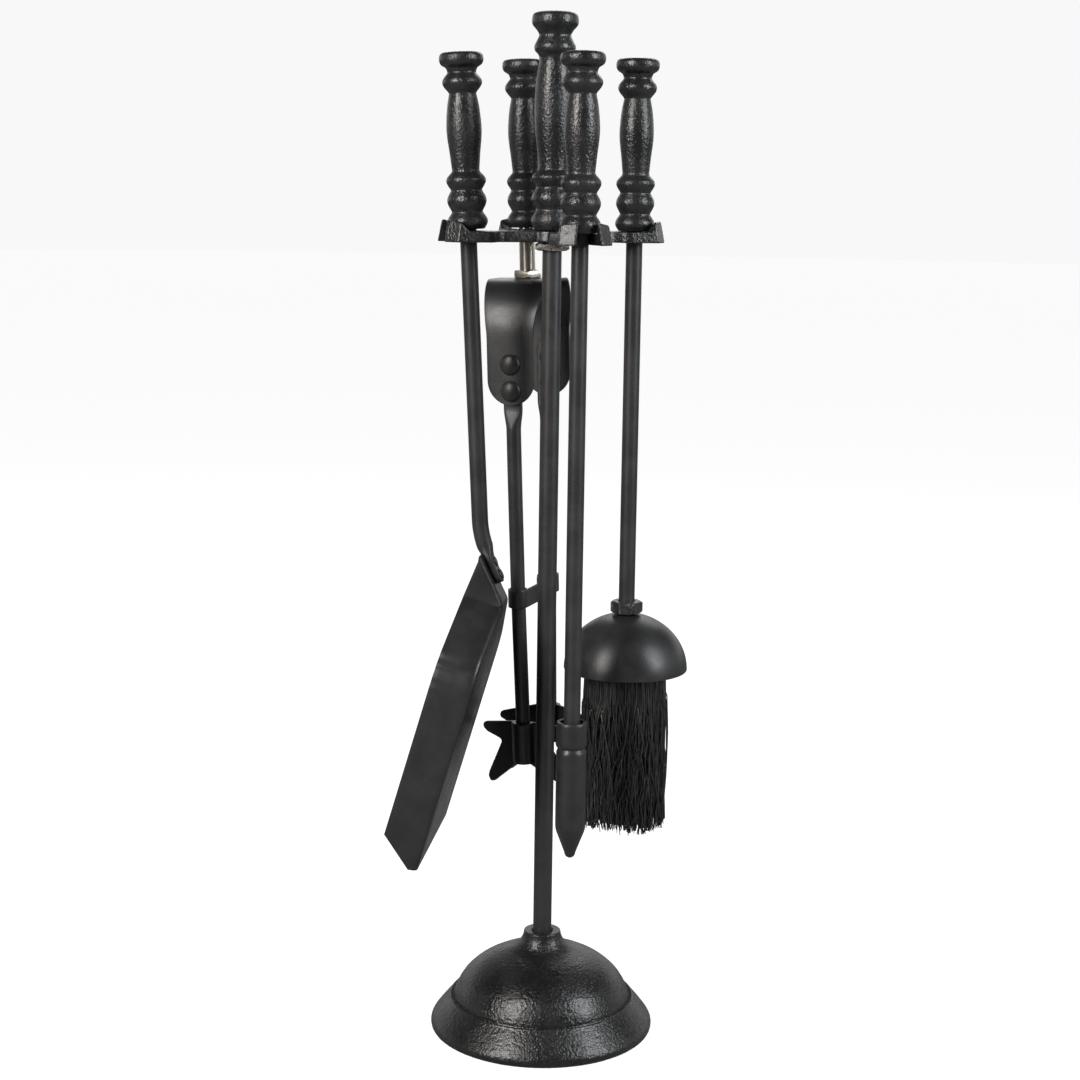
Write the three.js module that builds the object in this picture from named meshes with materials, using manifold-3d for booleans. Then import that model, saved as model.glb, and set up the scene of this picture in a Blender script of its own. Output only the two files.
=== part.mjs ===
// A stand with four hanging fireplace tools: shovel, tongs, poker and brush.
// Millimetres, +Z up. The origin is the centre of the base, on the floor, under the stem.
import * as THREE from "three";
import { mergeVertices } from "three/addons/utils/BufferGeometryUtils.js";
import { ConvexGeometry } from "three/addons/geometries/ConvexGeometry.js";
import Module from "manifold-3d";

const wasm = await Module();
wasm.setup();

// Driving dimensions
const gap = 0.3; // between pieces that touch
const finestDetail = 0.01; // slivers under this are merged after a cut
const roundSides = 24; // sides of a turned piece
const rodSides = 16; // sides of a rod

const baseRadius = 72.5;
const collarTop = 65;
const stemRadius = 6;
const stemEnd = 2.5; // the stem's lower end, just clear of the floor
const bossBottom = 16;

const rackBottom = 511.5;
const rackTop = 518.2;
const rackTurn = THREE.MathUtils.degToRad(-72.4); // direction of the front fork
const hookRadius = 54; // stem axis to the seat of each fork
const slotRadius = 5.9;
const earHeight = 6.5;
const rackNutHeight = 5;

const handleBottom = rackTop + gap;
const rodRadius = 5.15;
const handleBoreDepth = 28;

const shovelTilt = THREE.MathUtils.degToRad(-2.8); // how the shovel hangs out of plumb
const shovelTurn = THREE.MathUtils.degToRad(-6.5); // pan's width to the Y axis
const sheet = 1.5; // thickness of the pan

const tongsTilt = THREE.MathUtils.degToRad(-1.9); // how the tongs hang out of plumb
const tongsTurn = THREE.MathUtils.degToRad(-21.5); // the arms' plane to the Y axis
const bowTop = 486; // top face of the spring bow
const bowRadius = 33; // outer
const bowWidth = 31.6; // of each leg
const crownHalfWidth = 23.5; // the band is wider over the top of the bow
const bandThickness = 2;
const bowBottom = 407;
const studRadius = 5;

const sleeveRadius = 9.5;
const pokerTip = 132;
const domeRadius = 40;
const domeRim = 237.7;
const bristleRadius = 26.5;
const bristleEnd = 131;

const toolSet = new THREE.Group();

// Materials: colour, roughness and metalness of each finish
function castIron() {
  return new THREE.MeshStandardMaterial({ color: 0x17181a, roughness: 0.5, metalness: 0.6 });
}
function blackPaint() {
  return new THREE.MeshStandardMaterial({ color: 0x232426, roughness: 0.55, metalness: 0.4 });
}
function zinc() {
  return new THREE.MeshStandardMaterial({ color: 0xb4b0a8, roughness: 0.3, metalness: 1 });
}
function darkFibre() {
  return new THREE.MeshStandardMaterial({ color: 0x101112, roughness: 0.9, metalness: 0 });
}
function palewood() {
  return new THREE.MeshStandardMaterial({ color: 0x9a7c55, roughness: 0.8, metalness: 0 });
}

// Solids
function toSolid(geometry) {
  const bare = geometry.index ? geometry.toNonIndexed() : geometry.clone();
  const merged = mergeVertices(
    new THREE.BufferGeometry().setAttribute("position", bare.getAttribute("position")),
    1e-4,
  );
  return new wasm.Manifold(
    new wasm.Mesh({
      numProp: 3,
      vertProperties: merged.attributes.position.array,
      triVerts: new Uint32Array(merged.index.array),
    }),
  );
}

function toGeometry(solid) {
  const mesh = solid.simplify(finestDetail).getMesh();
  const geometry = new THREE.BufferGeometry();
  geometry.setAttribute("position", new THREE.BufferAttribute(mesh.vertProperties, 3));
  geometry.setIndex(new THREE.BufferAttribute(mesh.triVerts, 1));
  return geometry;
}

function union(geometries) {
  const solids = geometries.map(toSolid);
  return toGeometry(solids.reduce((a, b) => a.add(b)));
}

function cut(geometry, tools) {
  return toGeometry(tools.map(toSolid).reduce((a, b) => a.subtract(b), toSolid(geometry)));
}

function keepInside(geometry, region) {
  return toGeometry(toSolid(geometry).intersect(toSolid(region)));
}

// A turned solid. The profile is a list of [radius, height] going up the outside.
function turned(profile, sides = roundSides) {
  const points = profile.map(([radius, height]) => new THREE.Vector2(radius, height));
  return new THREE.LatheGeometry(points, sides).rotateX(Math.PI / 2);
}

function upright(radiusBottom, radiusTop, bottom, top, sides = rodSides) {
  return turned([[0, bottom], [radiusBottom, bottom], [radiusTop, top], [0, top]], sides);
}

// A hexagonal bar with a round hole, its flats facing the X axis.
function hexNut(acrossFlats, holeRadius, bottom, top) {
  const corner = acrossFlats / Math.sqrt(3);
  const shape = new THREE.Shape();
  for (let i = 0; i < 6; i += 1) {
    const angle = (i + 0.5) * (Math.PI / 3);
    shape[i ? "lineTo" : "moveTo"](corner * Math.cos(angle), corner * Math.sin(angle));
  }
  shape.closePath();
  shape.holes.push(new THREE.Path().absarc(0, 0, holeRadius, 0, 2 * Math.PI, true));
  return slab(shape, bottom, top, 8);
}

// A flat shape made solid between two heights.
function slab(shape, bottom, top, curveSegments = 8) {
  return new THREE.ExtrudeGeometry(shape, {
    depth: top - bottom,
    bevelEnabled: false,
    curveSegments,
  }).translate(0, 0, bottom);
}

function tube(curve, radius, steps, sides = rodSides) {
  const section = new THREE.Shape();
  for (let i = 0; i < sides; i += 1) {
    const angle = (i * 2 * Math.PI) / sides;
    section[i ? "lineTo" : "moveTo"](radius * Math.cos(angle), radius * Math.sin(angle));
  }
  section.closePath();
  return new THREE.ExtrudeGeometry(section, { steps, extrudePath: curve, bevelEnabled: false });
}

function box(low, high) {
  const size = high.map((value, i) => value - low[i]);
  const middle = high.map((value, i) => (value + low[i]) / 2);
  return new THREE.BoxGeometry(...size).translate(...middle);
}

function piece(name, geometry, material) {
  const mesh = new THREE.Mesh(geometry, material);
  mesh.name = name;
  return mesh;
}

// Stand
function baseCasting() {
  const bore = stemRadius + gap;
  return turned(
    [
      [bore, bossBottom],
      [14, bossBottom],
      [14, 44],
      [30, 39],
      [44, 31],
      [52, 20],
      [66, 5],
      [67, 0],
      [baseRadius, 0],
      [baseRadius, 5.5],
      [71, 7.5],
      [59.5, 20.5],
      [57.5, 22],
      [54.5, 28],
      [50, 36],
      [42, 43],
      [32, 48.5],
      [24, 51],
      [18, 54],
      [14, 58.5],
      [12, 63],
      [11, collarTop],
      [bore, collarTop],
      [bore, bossBottom],
    ],
    48,
  );
}

function baseWasher() {
  const inner = stemRadius + gap;
  return turned([[inner, 13.7], [12, 13.7], [12, 15.7], [inner, 15.7], [inner, 13.7]]);
}

// One arm and its fork, as an outline in the plane: the arm runs along +X.
function forkOutline() {
  const armHalf = 6.5;
  const forkHalf = 17;
  const endHalf = 8.9;
  const forkStart = 45;
  const sideEnd = 64.5;
  const tip = 71;
  const mouthHalf = 8;
  const shape = new THREE.Shape();
  shape.moveTo(0, -armHalf);
  shape.lineTo(33, -armHalf);
  shape.bezierCurveTo(40, -armHalf, 39, -forkHalf, forkStart + 2, -forkHalf);
  shape.lineTo(sideEnd, -forkHalf);
  shape.lineTo(tip, -endHalf);
  shape.lineTo(tip, -mouthHalf);
  shape.lineTo(hookRadius, -slotRadius);
  shape.absarc(hookRadius, 0, slotRadius, -Math.PI / 2, Math.PI / 2, true);
  shape.lineTo(tip, mouthHalf);
  shape.lineTo(tip, endHalf);
  shape.lineTo(sideEnd, forkHalf);
  shape.lineTo(forkStart + 2, forkHalf);
  shape.bezierCurveTo(39, forkHalf, 40, armHalf, 33, armHalf);
  shape.lineTo(0, armHalf);
  shape.closePath();
  return shape;
}

// One arm with its fork, and the two ears that keep the tool on it.
function rackArm() {
  const plate = slab(forkOutline(), rackBottom, rackTop, 6);
  const earBlock = slab(forkOutline(), rackTop - 1, rackTop + earHeight, 6);
  const earZone = box([57, -20, rackTop - 2], [75, 20, rackTop + earHeight + 1]);
  const ears = keepInside(earBlock, earZone);
  const clearance = upright(13.2, 17.4, rackTop, rackTop + earHeight + 1, 32);
  return union([plate, cut(ears, [clearance.translate(hookRadius, 0, 0)])]);
}

function rack() {
  const arms = [0, 1, 2, 3].map((i) => rackArm().rotateZ(rackTurn + (i * Math.PI) / 2));
  const hub = upright(13, 13, rackBottom, rackTop, roundSides);
  const hole = upright(stemRadius + gap, stemRadius + gap, rackBottom - 1, rackTop + 1);
  return cut(union([...arms, hub]), [hole]);
}

function finial() {
  const bore = stemRadius + gap;
  const bottom = rackTop + gap;
  return turned([
    [bore, bottom],
    [11, bottom],
    [13, 524],
    [11, 531.5],
    [13, 538],
    [11, 545],
    [13, 551],
    [9.4, 556],
    [9.8, 564],
    [11.6, 580],
    [12, 595],
    [11.4, 608],
    [9.6, 621],
    [9.7, 625],
    [12.6, 629],
    [9.8, 636],
    [14, 643.5],
    [14, 647.5],
    [12.5, 650],
    [0, 650],
    [0, 542],
    [bore, 541],
    [bore, bottom],
  ]);
}

function stand() {
  const rackNutTop = rackBottom - gap;
  toolSet.add(
    piece("base_casting", baseCasting(), castIron()),
    piece("base_washer", baseWasher(), zinc()),
    piece("base_nut", hexNut(18, stemRadius + gap, 3.4, 13.4), zinc()),
    piece("stem", upright(stemRadius, stemRadius, stemEnd, 540.5), blackPaint()),
    piece("rack_nut", hexNut(18.5, stemRadius + gap, rackNutTop - rackNutHeight, rackNutTop), zinc()),
    piece("rack", rack(), castIron()),
    piece("finial", finial(), castIron()),
  );
}

// The turned handle of every tool, with a blind hole for its rod.
function handle() {
  const bore = rodRadius + gap;
  const boreTop = handleBottom + handleBoreDepth;
  return turned(
    [
      [bore, handleBottom],
      [10.5, handleBottom],
      [12.2, 523.2],
      [9.8, 529],
      [11.9, 536],
      [9.95, 542],
      [12, 548],
      [8.3, 554],
      [9.2, 563],
      [10.65, 577],
      [9.8, 590],
      [8.3, 598],
      [11.9, 606.2],
      [8.8, 612.6],
      [13.3, 617.5],
      [13, 622.5],
      [12, 623.7],
      [0, 623.7],
      [0, boreTop + 1],
      [bore, boreTop],
      [bore, handleBottom],
    ],
    20,
  );
}

const rodTop = handleBottom + handleBoreDepth - 1;

// A group that hangs in one fork, in the part's heights, turned about its own upright and
// then tilted about the fork. Fork 0 is the front one, and they go round to the right.
function hangFrom(forkIndex, tilt = 0, turn = 0) {
  const angle = rackTurn + (forkIndex * Math.PI) / 2;
  const outer = new THREE.Group();
  outer.position.set(hookRadius * Math.cos(angle), hookRadius * Math.sin(angle), handleBottom);
  outer.rotation.set(0, tilt, turn, "YZX");
  const group = new THREE.Group();
  const edgeLift = tilt ? 0.65 : 0; // a tilted handle stands on the edge of its foot
  group.position.z = edgeLift - handleBottom;
  outer.add(group);
  toolSet.add(outer);
  return group;
}

// Shovel. Its own X axis points from the open side of the pan to the back of its floor.
const panFront = new THREE.Vector3(-39.6, 0, 128.9); // middle of the floor's front edge
const panAlong = new THREE.Vector3(0.327, 0, 0.945).normalize(); // up the floor
const panInward = new THREE.Vector3(-panAlong.z, 0, panAlong.x); // from the floor to the open side
const panHalfWidth = 58;
const panDepth = 26;
const shoulderAt = 131; // along the floor
const floorEnd = 166;
const backRise = { along: 26, inward: 23, side: 2 }; // from the floor's end to the back's top
const tongueHalf = 12;

function panPoint(along, side, inward) {
  return panFront
    .clone()
    .addScaledVector(panAlong, along)
    .addScaledVector(panInward, inward)
    .add(new THREE.Vector3(0, side, 0));
}

// The pan's filled shape. Inset moves its walls inward, and top carries them past the rim.
function panBody(inset, top) {
  const points = [];
  const backInset = inset * 1.51;
  for (const sign of [-1, 1]) {
    const half = sign * (panHalfWidth - inset);
    const rise = (inward) => inward / backRise.inward;
    const backAt = (inward) =>
      panPoint(
        floorEnd - backInset + backRise.along * rise(inward),
        sign * (tongueHalf - inset + backRise.side * rise(inward)),
        inward,
      );
    points.push(panPoint(shoulderAt - inset * 0.4, half, inset));
    points.push(panPoint(shoulderAt - inset * 0.4, half, top));
    points.push(backAt(inset), backAt(Math.min(top, inset ? top : backRise.inward)));
    if (inset) {
      points.push(panPoint(-10, half, inset), panPoint(-10, half, top));
    } else {
      points.push(panPoint(0, half, 0), panPoint(-1, half, 5.6), panPoint(16, half, top));
    }
  }
  return new ConvexGeometry(points);
}

function shovelPan() {
  return cut(panBody(0, panDepth), [panBody(sheet, panDepth + 1)]);
}

// The flat end of the rod lies on the outside of the pan's back.
const strapThickness = 4;
const strapHalf = 7;
const strapLength = 31;
const backTop = panPoint(floorEnd + backRise.along, 0, backRise.inward);
const backBottom = panPoint(floorEnd, 0, 0);
const backDown = backBottom.clone().sub(backTop).normalize();
const backOut = new THREE.Vector3(-backDown.z, 0, backDown.x);
const strapOffset = strapThickness / 2 + gap;
// Where the rod's axis meets the strap's middle line
const bendPoint = new THREE.Vector3(
  0,
  0,
  backTop.z + (strapOffset + backTop.x * backOut.x) / backOut.z,
);

function strapFrame(along, out) {
  return bendPoint.clone().addScaledVector(backDown, along).addScaledVector(backOut, out);
}

// A straight line that runs into a bend. The line is one step and the bend takes the others.
const bentLineSteps = 7;
class BentLine extends THREE.Curve {
  constructor(start, bend) {
    super();
    this.start = start;
    this.bend = bend;
  }

  getUtoTmapping(u) {
    return u;
  }

  getPoint(t) {
    const straight = 1 / bentLineSteps;
    if (t > straight) return this.bend.getPoint((t - straight) / (1 - straight));
    return this.start.clone().lerp(this.bend.v0, t / straight);
  }
}

function shovelRod() {
  const bendLength = 12;
  const start = new THREE.Vector3(0, 0, rodTop);
  const bendStart = bendPoint.clone().setZ(bendPoint.z + bendLength);
  const bendEnd = strapFrame(bendLength, 0);
  const path = new BentLine(start, new THREE.QuadraticBezierCurve3(bendStart, bendPoint, bendEnd));
  const corners = [];
  const half = strapThickness / 2;
  for (const along of [8, strapLength]) {
    for (const side of [-strapHalf, strapHalf]) {
      for (const out of [-half, half]) {
        corners.push(strapFrame(along, out).add(new THREE.Vector3(0, side, 0)));
      }
    }
  }
  const trimmed = keepInside(tube(path, rodRadius, bentLineSteps), strapSide());
  return union([trimmed, new ConvexGeometry(corners)]);
}

// The half space outside the pan's back, less the gap to it.
function strapSide() {
  const width = 40;
  const corners = [];
  for (const along of [-240, 60]) {
    for (const side of [-width, width]) {
      for (const out of [0.1 - strapThickness / 2, 120]) {
        corners.push(strapFrame(along, out).add(new THREE.Vector3(0, side, 0)));
      }
    }
  }
  return new ConvexGeometry(corners);
}

// A rivet across a stack: a head, a shank and a tail, along +X from the head's underside.
function rivet(headRadius, headHeight, shankRadius, grip, tailRadius, tailHeight) {
  return turned(
    [
      [0, -headHeight],
      [headRadius * 0.6, -headHeight * 0.85],
      [headRadius, 0],
      [shankRadius, 0.001],
      [shankRadius, grip],
      [tailRadius, grip + 0.001],
      [tailRadius * 0.6, grip + tailHeight * 0.85],
      [0, grip + tailHeight],
    ],
    12,
  ).rotateY(Math.PI / 2);
}

function shovel() {
  const group = hangFrom(3, shovelTilt, shovelTurn);
  const rivetRadius = 2;
  const holeRadius = rivetRadius + gap;
  const grip = strapThickness + gap + sheet + 2 * gap;
  let rod = shovelRod();
  let pan = shovelPan();
  const rivets = [];
  [17, 26].forEach((along, i) => {
    const middle = strapFrame(along, 0);
    const turn = Math.atan2(backOut.z, backOut.x);
    const drill = new THREE.CylinderGeometry(holeRadius, holeRadius, 20, 12)
      .rotateZ(Math.PI / 2)
      .rotateY(-turn)
      .translate(middle.x, middle.y, middle.z);
    rod = cut(rod, [drill]);
    pan = cut(pan, [drill]);
    const start = strapFrame(along, strapThickness / 2 + gap);
    const shape = rivet(4, 2.2, rivetRadius, grip, 3.6, 1.6)
      .rotateY(Math.PI - turn)
      .translate(start.x, start.y, start.z);
    rivets.push(piece(`shovel_rivet_${i + 1}`, shape, blackPaint()));
  });
  group.add(
    piece("shovel_handle", handle(), castIron()),
    piece("shovel_rod", rod, blackPaint()),
    piece("shovel_pan", pan, blackPaint()),
    ...rivets,
  );
}

// Poker
function poker() {
  const group = hangFrom(0);
  const top = 219.6;
  const bore = rodRadius + gap;
  const rodEnd = 186;
  const sleeve = turned([
    [0, pokerTip],
    [2.6, pokerTip + 0.8],
    [3.4, pokerTip + 2.6],
    [sleeveRadius, 152],
    [sleeveRadius, 201.5],
    [sleeveRadius - 1, 203],
    [sleeveRadius, 204.5],
    [sleeveRadius, top],
    [7, top],
    [7, 207],
    [bore, 204],
    [bore, rodEnd - 1],
    [0, rodEnd - 2],
  ]);
  group.add(
    piece("poker_handle", handle(), castIron()),
    piece("poker_rod", upright(rodRadius, rodRadius, rodEnd, rodTop), blackPaint()),
    piece("poker_tip", sleeve, blackPaint()),
  );
}

// Brush
function domeProfile(inset) {
  const points = [];
  const height = 36.6 - inset;
  const steps = 8;
  for (let i = 0; i <= steps; i += 1) {
    const angle = (i / steps) * (Math.PI / 2);
    points.push([(domeRadius - inset) * Math.cos(angle), domeRim + height * Math.sin(angle)]);
  }
  return points;
}

function brush() {
  const group = hangFrom(1);
  const bore = rodRadius + gap;
  const wall = 1.5;
  const outer = domeProfile(0).slice(0, -1);
  const inner = domeProfile(wall).slice(0, -1).reverse();
  const topZ = domeRim + 36.6;
  const dome = turned(
    [...outer, [bore, topZ], [bore, topZ - wall], ...inner, outer[0]],
    32,
  );
  const nutBottom = topZ + gap;
  const plugTop = 265;
  const plugBottom = 252;
  const rodEnd = 246;
  const plug = turned([
    [bore, plugBottom],
    [28, plugBottom],
    [28, 256],
    [20, plugTop],
    [bore, plugTop],
    [bore, plugBottom],
  ]);
  const bristles = turned([
    [0, bristleEnd],
    [bristleRadius - 1, bristleEnd],
    [bristleRadius, 160],
    [bristleRadius, 225],
    [25, plugBottom - gap],
    [bore + 2, plugBottom - gap],
    [bore + 2, rodEnd - 2],
    [0, rodEnd - 2],
  ]);
  group.add(
    piece("brush_handle", handle(), castIron()),
    piece("brush_rod", upright(rodRadius, rodRadius, rodEnd, rodTop), blackPaint()),
    piece("brush_nut", hexNut(18, bore, nutBottom, nutBottom + 8), blackPaint()),
    piece("brush_dome", dome, blackPaint()),
    piece("brush_plug", plug, palewood()),
    piece("brush_bristles", bristles, darkFibre()),
  );
}

// Tongs. Their own Y axis points from the near arm to the far arm.
const armTop = 445; // top of the flattened tongue
const tongueHalfWidth = 6.25;
const tongueThickness = 3;
const tongueMiddle = bowRadius - bandThickness - gap - tongueThickness / 2;
const armRadius = 4.7;
const armEnd = 171.5;
const rivetHeights = [433, 416];

// Outline of the bow seen along its width: a flat crown, round shoulders and straight legs.
function bowOutline(inset) {
  const half = bowRadius - inset;
  const top = bowTop - inset;
  const bottom = bowBottom - inset;
  const shoulder = bowTop - bowRadius;
  const crownHalf = 8.5;
  const pull = 18; // how far the shoulder curve follows the leg and the crown
  const shape = new THREE.Shape();
  shape.moveTo(-half, bottom);
  shape.lineTo(-half, shoulder);
  shape.bezierCurveTo(-half, shoulder + pull, -crownHalf - pull + 5, top, -crownHalf, top);
  shape.lineTo(crownHalf, top);
  shape.bezierCurveTo(crownHalf + pull - 5, top, half, shoulder + pull, half, shoulder);
  shape.lineTo(half, bottom);
  shape.closePath();
  return shape;
}

// A prism of a shape drawn in the Y-Z plane, centred on X = 0.
function acrossX(shape, width, curveSegments = 12) {
  return new THREE.ExtrudeGeometry(shape, { depth: width, bevelEnabled: false, curveSegments })
    .translate(0, 0, -width / 2)
    .rotateY(Math.PI / 2)
    .rotateX(Math.PI / 2);
}

// Half of the band's width, at a drop below the top of the bow.
function bandHalfAt(drop) {
  const half = bowWidth / 2;
  const round = Math.acos(1 - drop / bowRadius) / (Math.PI / 2);
  return half + (crownHalfWidth - half) * (1 - round) ** 1.1;
}

// The band seen along Y: it narrows from the crown to the legs, which have round ends.
function bandRegion() {
  const half = bowWidth / 2;
  const drops = [0, 0.5, 1.5, 3.3, 6, 11, 20, bowRadius];
  const shape = new THREE.Shape();
  shape.moveTo(-crownHalfWidth, bowTop + 1);
  drops.forEach((drop) => shape.lineTo(-bandHalfAt(drop), bowTop - drop));
  shape.lineTo(-half, bowBottom + half);
  shape.absarc(0, bowBottom + half, half, Math.PI, 2 * Math.PI, false);
  drops.reverse().forEach((drop) => shape.lineTo(bandHalfAt(drop), bowTop - drop));
  shape.lineTo(crownHalfWidth, bowTop + 1);
  shape.closePath();
  return new THREE.ExtrudeGeometry(shape, { depth: 100, bevelEnabled: false, curveSegments: 8 })
    .translate(0, 0, -50)
    .rotateX(Math.PI / 2);
}

function drillAlongY(radius, height) {
  return new THREE.CylinderGeometry(radius, radius, 100, 12).translate(0, 0, height);
}

function tongsBow() {
  const width = 2 * crownHalfWidth + 2;
  const ring = cut(acrossX(bowOutline(0), width), [acrossX(bowOutline(bandThickness), width + 2)]);
  const studHole = upright(studRadius + gap, studRadius + gap, bowTop - 5, bowTop + 5);
  return cut(keepInside(ring, bandRegion()), [
    studHole,
    ...rivetHeights.map((height) => drillAlongY(2 + gap, height)),
  ]);
}

// One arm: a flattened tongue on top of a round rod that leans inward. Side is -1 near, +1 far.
function armCurve(side) {
  return new THREE.CatmullRomCurve3([
    new THREE.Vector3(0, side * tongueMiddle, 399),
    new THREE.Vector3(0, side * 29, 360),
    new THREE.Vector3(0, side * 27.8, 285),
    new THREE.Vector3(0, side * 24.2, 200),
    new THREE.Vector3(0, side * 23.2, armEnd),
  ]);
}

function tongArm(side) {
  const curve = armCurve(side);
  const rod = tube(curve, armRadius, 14, 12);
  const shape = new THREE.Shape();
  const half = tongueHalfWidth;
  shape.moveTo(-armRadius + 0.3, 394);
  shape.lineTo(armRadius - 0.3, 394);
  shape.lineTo(half, 404);
  shape.lineTo(half, armTop - half);
  shape.absarc(0, armTop - half, half, 0, Math.PI, false);
  shape.lineTo(-half, 404);
  shape.closePath();
  const tongue = new THREE.ExtrudeGeometry(shape, {
    depth: tongueThickness,
    bevelEnabled: false,
    curveSegments: 6,
  })
    .translate(0, 0, -tongueThickness / 2)
    .rotateX(Math.PI / 2)
    .translate(0, side * tongueMiddle, 0);
  return cut(
    union([rod, tongue]),
    rivetHeights.map((height) => drillAlongY(2 + gap, height)),
  );
}

// Claw plate: two swept halves with a half-round channel between them that holds the arm.
const jawTop = 197;
const jawSweep = THREE.MathUtils.degToRad(21);
const jawThickness = 2.5;
const channelRadius = armRadius + gap + jawThickness;

// Half of the outline, as [distance from the middle, distance below the top].
const jawHalf = [
  [0, 0],
  [8.3, 0.2],
  [32.4, 4.7],
  [34.3, 7.8],
  [30.5, 11.5],
  [20, 13.9],
  [17.8, 15.7],
  [30.5, 39.5],
  [30, 44.5],
  [26.4, 45.5],
  [3.6, 28.1],
  [0, 27.6],
];

function jawWing(sign) {
  const shape = new THREE.Shape();
  jawHalf.forEach(([across, down], i) => {
    shape[i ? "lineTo" : "moveTo"](across, -down);
  });
  shape.closePath();
  const wing = new THREE.ExtrudeGeometry(shape, { depth: jawThickness, bevelEnabled: false })
    .rotateX(Math.PI / 2)
    .rotateZ(jawSweep);
  return sign > 0 ? wing : mirrorX(wing);
}

function mirrorX(geometry) {
  const solid = toSolid(geometry).mirror([1, 0, 0]);
  return toGeometry(solid);
}

// Jaw of the near arm, round the arm's axis. Wings point to +Y, the other jaw.
function jawAtOrigin() {
  const back = -armRadius * 0.2;
  const wings = [-1, 1].map((sign) => jawWing(sign).translate(0, back, 0));
  const channel = upright(channelRadius, channelRadius, -27.6, 0, 20);
  const arm = upright(armRadius + gap, armRadius + gap, -60, 5, 20);
  const openSide = box([-40, armRadius * 0.35, -60], [40, 60, 5]);
  const shell = cut(channel, [openSide]);
  const wingsOutside = cut(union(wings), [upright(armRadius + gap, armRadius + gap, -60, 5, 20)]);
  return cut(union([shell, wingsOutside]), [arm]);
}

function tongJaw(side) {
  const lean = Math.atan2(24.2 - 23.2, 200 - armEnd);
  const jaw = jawAtOrigin().rotateX(lean).translate(0, -24.1, jawTop);
  return side < 0 ? jaw : jaw.rotateZ(Math.PI);
}

// The strip that holds the arms together: a ring on the near arm, a hook round the far arm.
function armGuide() {
  const middle = 281;
  const bottom = middle - 6;
  const top = middle + 6;
  const thickness = 1.2;
  const armAt = 27.8; // each arm's distance from the middle
  const inner = armRadius + 2 * gap;
  const outer = inner + thickness;
  const band = (y) => upright(outer, outer, bottom, top, 20).translate(0, y, 0);
  const bore = (y) => upright(inner, inner, bottom - 1, top + 1, 20).translate(0, y, 0);
  const hookMouth = box([-outer - 1, armAt - 20, bottom - 1], [inner, armAt, top + 1]);
  const hook = cut(band(armAt), [bore(armAt), hookMouth]);
  const leg = box([inner, -armAt, bottom], [outer, armAt, top]);
  const freeEnd = box([-outer, armAt - 7, bottom], [-inner, armAt + 0.5, top]);
  const whole = union([band(-armAt), hook, leg, freeEnd]);
  return cut(whole, [bore(-armAt), bore(armAt)]);
}

function tongs() {
  const group = hangFrom(2, tongsTilt, tongsTurn);
  const nutHoleRadius = studRadius + gap;
  const upperNutBottom = bowTop + gap;
  const lowerNutTop = bowTop - bandThickness - gap;
  group.add(
    piece("tongs_handle", handle(), castIron()),
    piece("tongs_stud", upright(studRadius, studRadius, lowerNutTop - 8, rodTop), zinc()),
    piece("tongs_upper_nut", hexNut(17, nutHoleRadius, upperNutBottom, upperNutBottom + 5), zinc()),
    piece("tongs_lower_nut", hexNut(17, nutHoleRadius, lowerNutTop - 7, lowerNutTop), zinc()),
    piece("tongs_bow", tongsBow(), blackPaint()),
    piece("arm_guide", armGuide(), blackPaint()),
  );
  for (const [name, side] of [["near", -1], ["far", 1]]) {
    group.add(piece(`${name}_arm`, tongArm(side), blackPaint()));
    group.add(piece(`${name}_jaw`, tongJaw(side), blackPaint()));
    rivetHeights.forEach((height, i) => {
      const grip = bandThickness + tongueThickness + 3 * gap;
      const shape = rivet(6.8, 3.2, 2, grip, 4, 1.8)
        .rotateZ(side < 0 ? Math.PI / 2 : -Math.PI / 2)
        .translate(0, side * (bowRadius + gap), height);
      group.add(piece(`${name}_rivet_${i + 1}`, shape, blackPaint()));
    });
  }
}

stand();
poker();
brush();
tongs();
shovel();

export default toolSet;
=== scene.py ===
import math
import random
import bmesh
import bpy
from mathutils import Matrix, Vector


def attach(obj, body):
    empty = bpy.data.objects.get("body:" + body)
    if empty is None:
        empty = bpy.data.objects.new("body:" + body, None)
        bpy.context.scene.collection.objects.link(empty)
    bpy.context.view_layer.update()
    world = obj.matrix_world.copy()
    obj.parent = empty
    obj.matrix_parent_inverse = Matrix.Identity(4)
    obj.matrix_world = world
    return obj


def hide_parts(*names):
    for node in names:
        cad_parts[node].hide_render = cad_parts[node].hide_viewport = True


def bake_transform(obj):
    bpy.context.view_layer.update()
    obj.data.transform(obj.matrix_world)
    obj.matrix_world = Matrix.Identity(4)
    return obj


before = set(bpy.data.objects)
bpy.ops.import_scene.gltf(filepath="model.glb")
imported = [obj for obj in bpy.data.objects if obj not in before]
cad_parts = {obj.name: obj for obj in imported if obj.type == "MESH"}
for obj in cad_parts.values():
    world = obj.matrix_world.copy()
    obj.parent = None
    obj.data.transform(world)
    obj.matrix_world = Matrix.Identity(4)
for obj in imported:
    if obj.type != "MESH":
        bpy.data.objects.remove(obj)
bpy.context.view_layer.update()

mm = 0.001
fullTurn = 2 * math.pi
rodRadius = 5.15
rodTop = 545.5  # inside the handles
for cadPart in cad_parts.values():
    cadPart.select_set(False)


# Modelling helpers, all lengths in millimetres until they reach Blender

def clearSelection():
    if bpy.context.object and bpy.context.object.mode != "OBJECT":
        bpy.ops.object.mode_set(mode="OBJECT")
    bpy.ops.object.select_all(action="DESELECT")


def choose(piece):
    clearSelection()
    piece.select_set(True)
    bpy.context.view_layer.objects.active = piece


def pick(piece, kind, test):
    # edit mode: selects the vertices, edges or faces that pass the test
    bpy.ops.mesh.select_mode(type=kind)
    bpy.ops.mesh.select_all(action="DESELECT")
    shape = bmesh.from_edit_mesh(piece.data)
    for item in {"VERT": shape.verts, "EDGE": shape.edges, "FACE": shape.faces}[kind]:
        if test(item):
            item.select_set(True)
    bmesh.update_edit_mesh(piece.data)


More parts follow.
